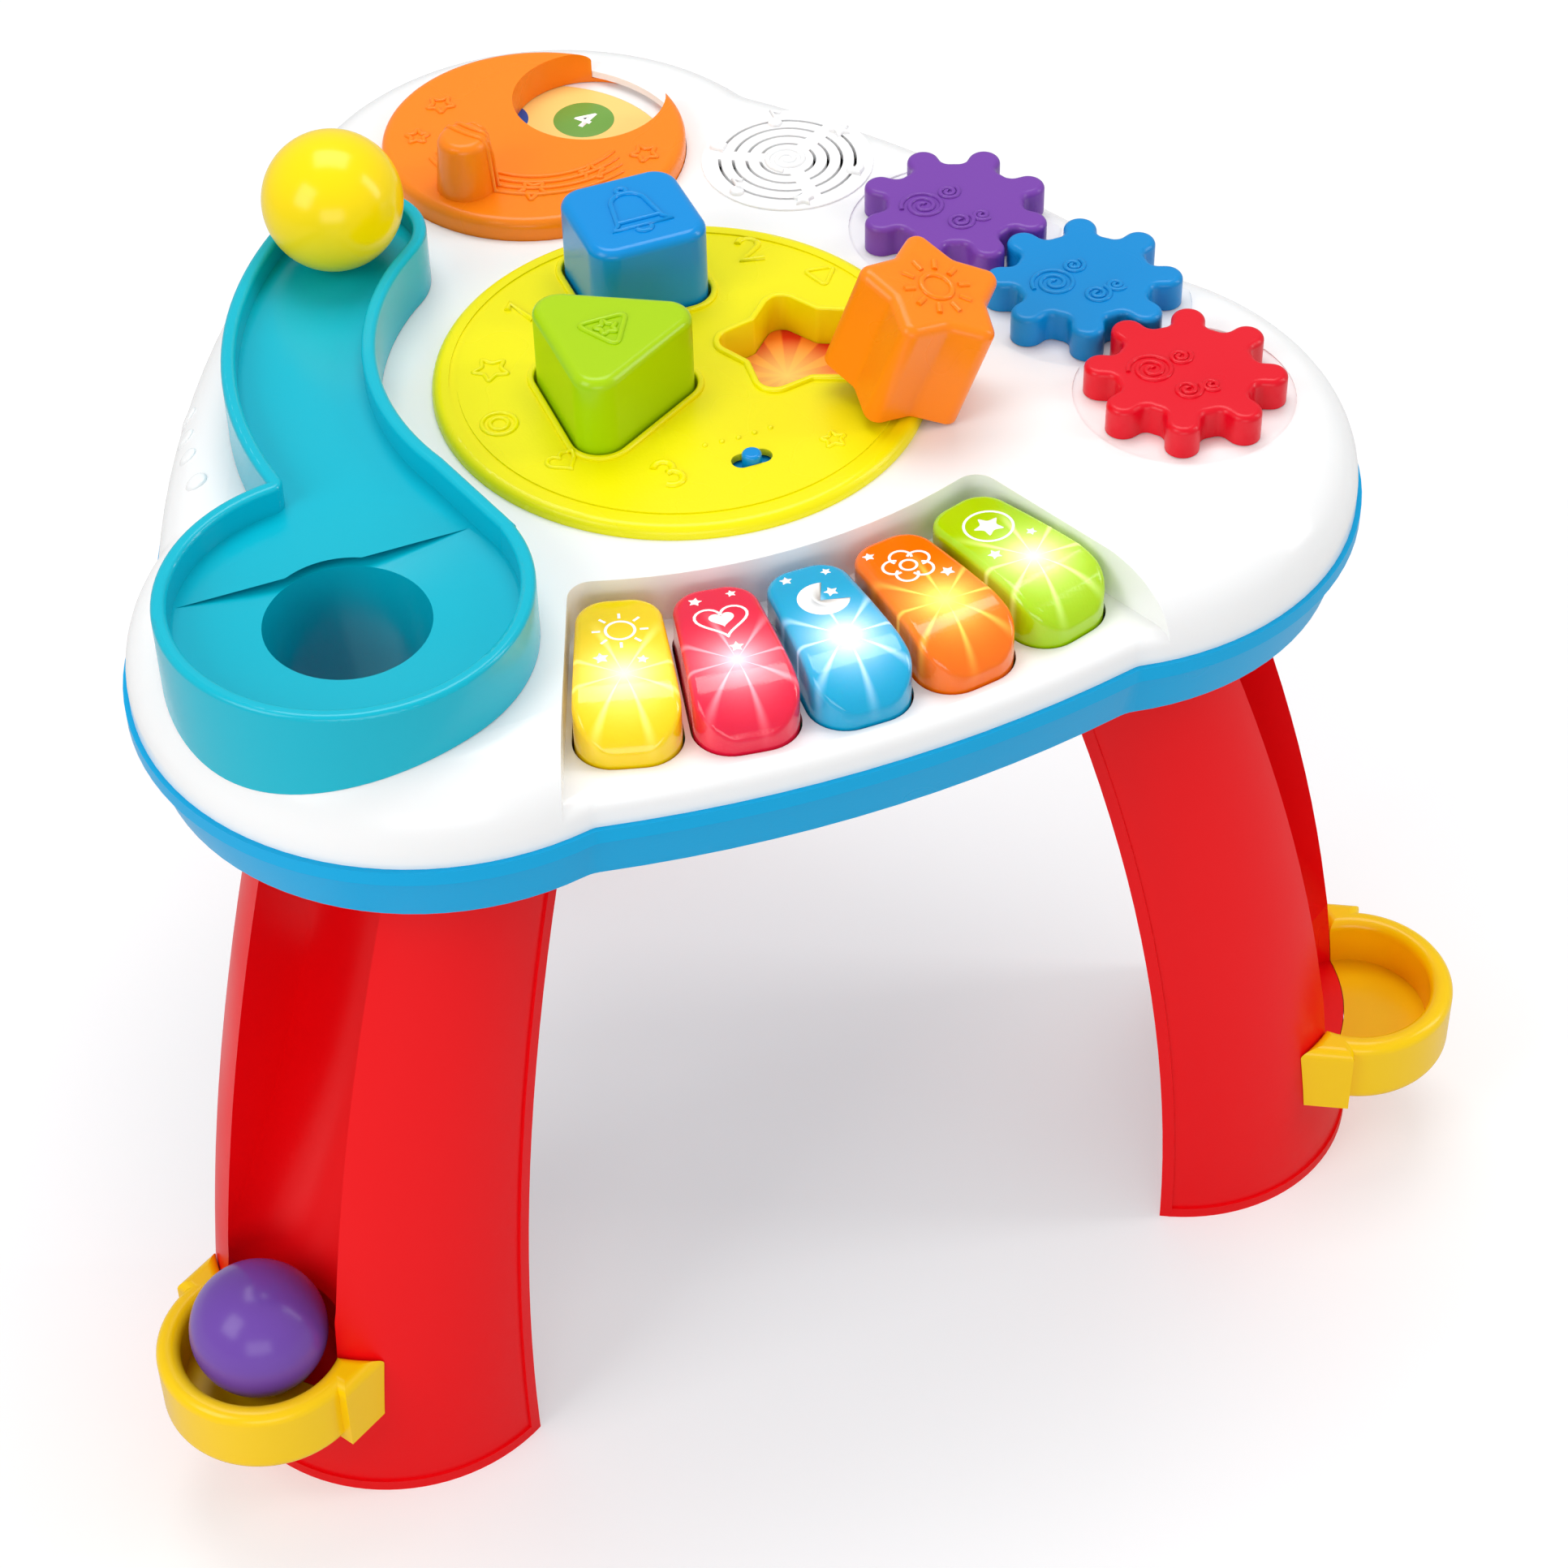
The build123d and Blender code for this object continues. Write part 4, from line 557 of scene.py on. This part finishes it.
keyPrints = {    # in each key's own plan: x across, y towards its back, from the middle of the print
    "yellow": {"lines": [ringPath(0, 0, 5.2), *rayPaths(7.0, 10.0, 8)],
               "solid": [starLoop(-7.5, -15.0, 3.2, turn=100), starLoop(7.0, -17.0, 2.4, turn=80)]},
    "pink": {"lines": [heartLoop(0, -1, 9.5)],
             "solid": [heartLoop(0, -0.5, 4.6), starLoop(-7.0, 12.0, 2.8, turn=70),
                       starLoop(6.5, 13.5, 2.2, turn=95), starLoop(1.5, -17.0, 3.0, turn=85)]},
    "blue": {"lines": [],
             "solid": [crescentLoop(1.0, -2.0, 9.5, turn=25), starLoop(5.0, 0.5, 3.0, turn=95),
                       starLoop(-7.0, 13.5, 2.6, turn=80), starLoop(8.0, 12.5, 2.2, turn=100)]},
    "orange": {"lines": [*petalPaths(5.4, 4.0, 118, 5), ringPath(0, 0, 3.0)],
               "solid": [starLoop(-9.0, 12.5, 2.6, turn=75), starLoop(9.5, -11.0, 3.0, turn=95)]},
    "green": {"lines": [ringPath(0, 0, 9.0)],
              "solid": [starLoop(0, 0, 6.2), starLoop(-9.5, -14.0, 3.0, turn=80),
                        starLoop(9.0, -13.0, 2.3, turn=100)]},
}
keyInk = {"radius": 238.0, "width": 1.1, "rise": 0.08}
for name, art in keyPrints.items():
    place = fanFrame(keyLooks[name]["angle"], keyInk["radius"])
    if art["lines"]:
        beadPiece(f"print_lines_{name}", art["lines"], f"key_{name}", finish["inkWhite"], keyInk["width"],
                  keyInk["rise"], place)
    padPiece(f"print_shapes_{name}", art["solid"], f"key_{name}", finish["inkWhite"], keyInk["rise"], place,
             rings=1, soft=0.02)
print("stage: key prints")

gearHub = (160.1, -15.8)    # axis of the blue gear
gearGap = 68.3              # from its axis to those of its neighbours


def besideHub(angle):
    turn = math.radians(angle)
    return (gearHub[0] + gearGap * math.cos(turn), gearHub[1] + gearGap * math.sin(turn))


gearReliefs = {    # on the purple gear: x, y, radius, turns and start; the others are turned copies
    "spirals": [(-12.7, 2.0, 9.0, 2.4, 30), (-0.1, 6.6, 4.5, 1.9, 60), (-3.7, -12.9, 5.5, 2.0, 20),
                (5.6, -12.7, 3.6, 1.7, 50)],
    "turns": {"purple": 0.0, "blue": 12.0, "red": -8.0},
    "places": {"purple": besideHub(111.9), "blue": gearHub, "red": besideHub(-82)},
    "width": 1.9, "rise": 0.9,
}
for color, (x, y) in gearReliefs["places"].items():
    place = deckFrame(x, y, gearReliefs["turns"][color])
    paths = [spiralPath(*spiral[:3], turns=spiral[3], start=spiral[4]) for spiral in gearReliefs["spirals"]]
    beadPiece(f"gear_spirals_{color}", paths, f"gear_{color}", finish[f"gear{color.capitalize()}"],
              gearReliefs["width"], gearReliefs["rise"], place)
print("stage: gear reliefs")

plateReliefs = {"width": 2.9, "rise": 1.3, "smallWidth": 1.9, "smallRise": 0.9,
                "figures": {"1": (-44, 57, 20), "2": (52, 60, -10), "3": (-27, -56, 10)},
                "dots": {"at": (4.3, -47.0), "apart": 6.5, "bow": 0.4, "radius": 1.1, "rise": 0.8}}
figurePaths = [place2d(path, x, y, turn) for figure, (x, y, turn) in plateReliefs["figures"].items()
               for path in numerals[figure]]
beadPiece("plate_figures", figurePaths, "sorter_plate", finish["plateYellow"], plateReliefs["width"],
          plateReliefs["rise"])
smallPaths = [starLoop(-66, 28, 7.5, turn=100), ringPath(-74, -4, 6.5), ringPath(-74, -4, 3.4),
              roundedLoop([(66, 38), (78, 36), (70, 26)], 2.5), spiralPath(71, -29, 6.0, turns=2.0),
              starLoop(36, -62, 5.0, turn=80), heartLoop(-60, -34, 5.5, turn=15)]
beadPiece("plate_shapes", smallPaths, "sorter_plate", finish["plateYellow"], plateReliefs["smallWidth"],
          plateReliefs["smallRise"])
row = plateReliefs["dots"]
dots = [ringPath(row["at"][0] + row["apart"] * step, row["at"][1] + row["bow"] * abs(step), row["radius"], 16)
        for step in range(-2, 3)]
padPiece("plate_dots", dots, "sorter_plate", finish["plateYellow"], row["rise"], soft=0.6)
print("stage: plate reliefs")

moonReliefs = {"at": (0.0, 163.5), "width": 2.0, "rise": 0.95,
               "staff": {"at": (4, 4), "radius": 36.0, "apart": 4.0, "start": 176, "end": 306, "lines": 4},
               "stars": [(-14.0, -38.0, 6.5, 100), (12.0, -36.0, 5.5, 80), (36.0, -32.0, 6.0, 95),
                         (-44.0, 16.0, 5.0, 70), (-28.0, 34.0, 6.0, 110)]}
moonPlace = deckFrame(*moonReliefs["at"])
staff = moonReliefs["staff"]
moonPaths = [arcPath(*staff["at"], staff["radius"] + staff["apart"] * step, staff["start"] + 3 * step,
                     staff["end"] - 4 * step, 50) for step in range(staff["lines"])]
moonPaths += [starLoop(x, y, size, turn=turn) for x, y, size, turn in moonReliefs["stars"]]
beadPiece("moon_reliefs", moonPaths, "moon_spinner", finish["warmOrange"], moonReliefs["width"], moonReliefs["rise"],
          moonPlace)

dialArt = {"ring": 35.5, "disc": 12.6, "first": 36.0, "figure": 15.0, "lift": 0.09,
           "discs": {"4": srgb(0.45, 0.66, 0.28), "5": srgb(0.05, 0.32, 0.68), "6": srgb(0.85, 0.14, 0.16),
                     "1": srgb(0.95, 0.42, 0.10), "2": srgb(0.08, 0.60, 0.66), "3": srgb(0.42, 0.30, 0.62)}}


def printedDisc(x, y, radius, count=48):
    return arcPath(x, y, radius, 0, 360 - 360 / count, count - 1)


def digitMesh(figure, size, x, y, turn, lift):
    curve = bpy.data.curves.new(f"figure_{figure}", "FONT")
    curve.body = figure
    curve.size = size * mm
    curve.align_x, curve.align_y = "CENTER", "CENTER"
    curve.offset = 0.35 * mm
    curve.extrude = 0.03 * mm
    curve.resolution_u = 4
    holder = bpy.data.objects.new(f"figure_{figure}", curve)
    bpy.context.scene.collection.objects.link(holder)
    mesh = bpy.data.meshes.new_from_object(holder.evaluated_get(bpy.context.evaluated_depsgraph_get()))
    bpy.data.objects.remove(holder)
    mesh.transform(deckFrame(x, y, turn))
    mesh.transform(Matrix.Translation((0, 0, lift)))
    return mesh


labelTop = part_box("dial_label")[1].z
for step, (figure, color) in enumerate(dialArt["discs"].items()):
    angle = dialArt["first"] + 60 * step
    x = moonReliefs["at"][0] + dialArt["ring"] * math.cos(math.radians(angle))
    y = moonReliefs["at"][1] + dialArt["ring"] * math.sin(math.radians(angle))
    ink = moulded(f"ink_{figure}", color, rough=0.35, depth=0.0)
    padPiece(f"dial_disc_{figure}", [printedDisc(x, y, dialArt["disc"])], "dial_label", ink, 0.05, rings=1, soft=0.01,
             sunk=0.02)
    digit = digitMesh(figure, dialArt["figure"], x, y, angle - 90, labelTop + (dialArt["lift"] - deckZ) * mm)
    addPiece(digit, f"dial_figure_{figure}", finish["inkWhite"], "dial_label")
print("stage: moon and dial")

grilleReliefs = {"at": (91.5, 116.0), "spiral": 9.0, "ring": 29.0, "width": 2.2, "rise": 1.2, "pad": 1.5}


def noteStem(x, y, size):
    # stem and flag of a note; the head is a pad of its own
    return place2d([(0.85, 0.0), (0.85, 4.2), (2.6, 3.2)], x, y, 0, size)


gx, gy = grilleReliefs["at"]
grillePaths = [spiralPath(gx, gy, grilleReliefs["spiral"], turns=2.1, start=200)]
grillePads = []
for step, shape in enumerate(("star", "note", "heart", "note", "star", "heart")):
    angle = math.radians(20 + 60 * step)
    x, y = gx + grilleReliefs["ring"] * math.cos(angle), gy + grilleReliefs["ring"] * math.sin(angle)
    if shape == "note":
        grillePaths.append(noteStem(x, y - 3, 1.9))
        grillePads.append(ringPath(x, y - 3, 3.0, 20))
    elif shape == "star":
        grillePads.append(starLoop(x, y, 5.0, turn=90 + 12 * step))
    else:
        grillePads.append(heartLoop(x, y, 3.8))
beadPiece("grille_lines", grillePaths, "top_shell", finish["shellWhite"], grilleReliefs["width"],
          grilleReliefs["rise"])
padPiece("grille_shapes", grillePads, "top_shell", finish["shellWhite"], grilleReliefs["pad"], soft=0.3)

lobeReliefs = {"star": (186.0, -62.0, 12.0, 75), "notes": [(146.0, -84.0), (160.0, -80.0)],
               "stem": (4.4, 13.0), "head": 4.0, "width": 2.6, "rise": 1.2, "pad": 1.5,
               "dots": [(-175, 68, 3.4), (-180, 53, 3.4), (-183, 38, 3.4), (-185, 18, 4.2)]}
side, tall = lobeReliefs["stem"]
(firstX, firstY), (secondX, secondY) = [(x + side, y) for x, y in lobeReliefs["notes"]]
beam = [(firstX, firstY), (firstX, firstY + tall), (secondX, secondY + tall), (secondX, secondY)]
x, y, size, turn = lobeReliefs["star"]
beadPiece("lobe_lines", [beam, starLoop(x, y, size, turn=turn, waist=0.5)], "top_shell", finish["shellWhite"],
          lobeReliefs["width"], lobeReliefs["rise"])
oval = [(u * 1.25, v) for u, v in ringPath(0, 0, lobeReliefs["head"], 24)]
heads = [place2d(oval, x, y, 15) for x, y in lobeReliefs["notes"]]
dots = [ringPath(x, y, radius, 24) for x, y, radius in lobeReliefs["dots"]]
padPiece("lobe_pads", heads + dots, "top_shell", finish["shellWhite"], lobeReliefs["pad"], soft=0.5)
print("stage: shell reliefs")

blockReliefs = {"width": 2.3, "rise": 1.1}
starRest = {"at": (70.0, -42.0, 9.0), "tilt": 18.5, "about": 47.0}    # how the star block leans on the plate
bell = [arcPath(0, 4, 7, 180, 0, 18) + [(9.0, -8.0), (11.5, -11.0), (-11.5, -11.0), (-9.0, -8.0), (-7.0, 4.0)],
        arcPath(0, -11.5, 3.2, 200, 340, 10), arcPath(0, 12.8, 1.9, -80, 260, 14), [(-8.6, -6.5), (8.6, -6.5)]]
corners = [place2d([(11.5, 0)], 0, 0, 30 + 120 * step)[0] for step in range(3)]
wedge = [roundedLoop(corners, 4), starLoop(0, 0, 4.6)]
sun = [ringPath(0, 0, 6.0, 32), *rayPaths(9.0, 13.5, 10)]
hinge = math.radians(starRest["about"])
lean = Matrix.Rotation(math.radians(starRest["tilt"]), 4, Vector((math.cos(hinge), math.sin(hinge), 0)))
blockArt = {
    "square": (bell, "blockBlue", deckFrame(*wellPlaces["square"])),
    "triangle": (wedge, "blockLime", deckFrame(*wellPlaces["triangle"])),
    "star": (sun, "warmOrange", Matrix.Translation(onDeck(*starRest["at"])) @ lean),
}
for shape, (paths, look, place) in blockArt.items():
    beadPiece(f"{shape}_block_relief", paths, f"block_{shape}", finish[look], blockReliefs["width"],
              blockReliefs["rise"], place)
print("stage: block reliefs")


def stageMaterial(name, color, glow):
    # the floor shows nearly white to the camera but lights the table as pale matt board does
    material = bpy.data.materials.new(name)
    material.use_nodes = True
    tree, links = material.node_tree.nodes, material.node_tree.links
    shader = tree["Principled BSDF"]
    setSockets(shader, {"Base Color": color, "Roughness": 0.9, "Specular IOR Level": 0.1,
                        "Emission Color": (1.0, 1.0, 1.0, 1.0)})
    seen = tree.new("ShaderNodeLightPath")
    lift = tree.new("ShaderNodeMath")
    lift.operation = "MULTIPLY"
    lift.inputs[1].default_value = glow
    links.new(seen.outputs["Is Camera Ray"], lift.inputs[0])
    links.new(lift.outputs[0], shader.inputs["Emission Strength"])
    return material


def addFloor(size=8.0):
    mesh = bpy.data.meshes.new("floor")
    half = size / 2
    mesh.from_pydata([(-half, -half, 0), (half, -half, 0), (half, half, 0), (-half, half, 0)], [], [(0, 1, 2, 3)])
    floor = bpy.data.objects.new("floor", mesh)
    bpy.context.scene.collection.objects.link(floor)
    mesh.materials.append(stageMaterial("paleFloor", srgb(0.84, 0.84, 0.84), 0.36))


def addWorld(strength):
    world = bpy.data.worlds.new("studio")
    bpy.context.scene.world = world
    world.use_nodes = True
    tree, links = world.node_tree.nodes, world.node_tree.links
    background = tree["Background"]
    background.inputs["Color"].default_value = (1.0, 1.0, 1.0, 1.0)
    path = tree.new("ShaderNodeLightPath")
    seen = tree.new("ShaderNodeMath")
    seen.operation = "MAXIMUM"
    level = tree.new("ShaderNodeMapRange")
    setSockets(level, {"To Min": strength, "To Max": 1.0})
    links.new(path.outputs["Is Camera Ray"], seen.inputs[0])
    links.new(path.outputs["Is Transmission Ray"], seen.inputs[1])
    links.new(seen.outputs[0], level.inputs["Value"])
    links.new(level.outputs["Result"], background.inputs["Strength"])


def addLamp(name, place, target, size, power):
    light = bpy.data.lights.new(name, "AREA")
    light.shape = "RECTANGLE"
    light.size, light.size_y = size
    light.energy = power
    lamp = bpy.data.objects.new(name, light)
    bpy.context.scene.collection.objects.link(lamp)
    lamp.location = place
    lamp.rotation_euler = (Vector(target) - Vector(place)).to_track_quat("-Z", "Y").to_euler()


studio = {
    "topSoftbox": {"place": (0.2, 0.5, 2.3), "size": (1.6, 1.1), "power": 22.0},
    "frontSoftbox": {"place": (-0.8, -2.3, 0.8), "size": (1.6, 0.9), "power": 12.0},
    "leftSoftbox": {"place": (-1.7, -0.6, 1.5), "size": (1.0, 1.2), "power": 14.0},
    "rightStrip": {"place": (1.7, -0.7, 1.2), "size": (0.4, 1.3), "power": 8.0},
}
addFloor()
addWorld(0.5)
for name, lamp in studio.items():
    addLamp(name, lamp["place"], (0.0, 0.0, 0.25), lamp["size"], lamp["power"])

view = {"place": (-0.38972432, -1.13889971, 1.26211219), "turn": (0.8040222, 0.0147645, -0.3929595),
        "lens": 87.58, "sensor": 36.0}
camera = bpy.data.objects.new("camera", bpy.data.cameras.new("camera"))
bpy.context.scene.collection.objects.link(camera)
camera.location, camera.rotation_euler = view["place"], view["turn"]
camera.data.lens, camera.data.sensor_width = view["lens"], view["sensor"]
camera.data.sensor_fit = "AUTO"
bpy.context.scene.camera = camera
bpy.context.scene.view_settings.view_transform = "Standard"
print("stage: studio")
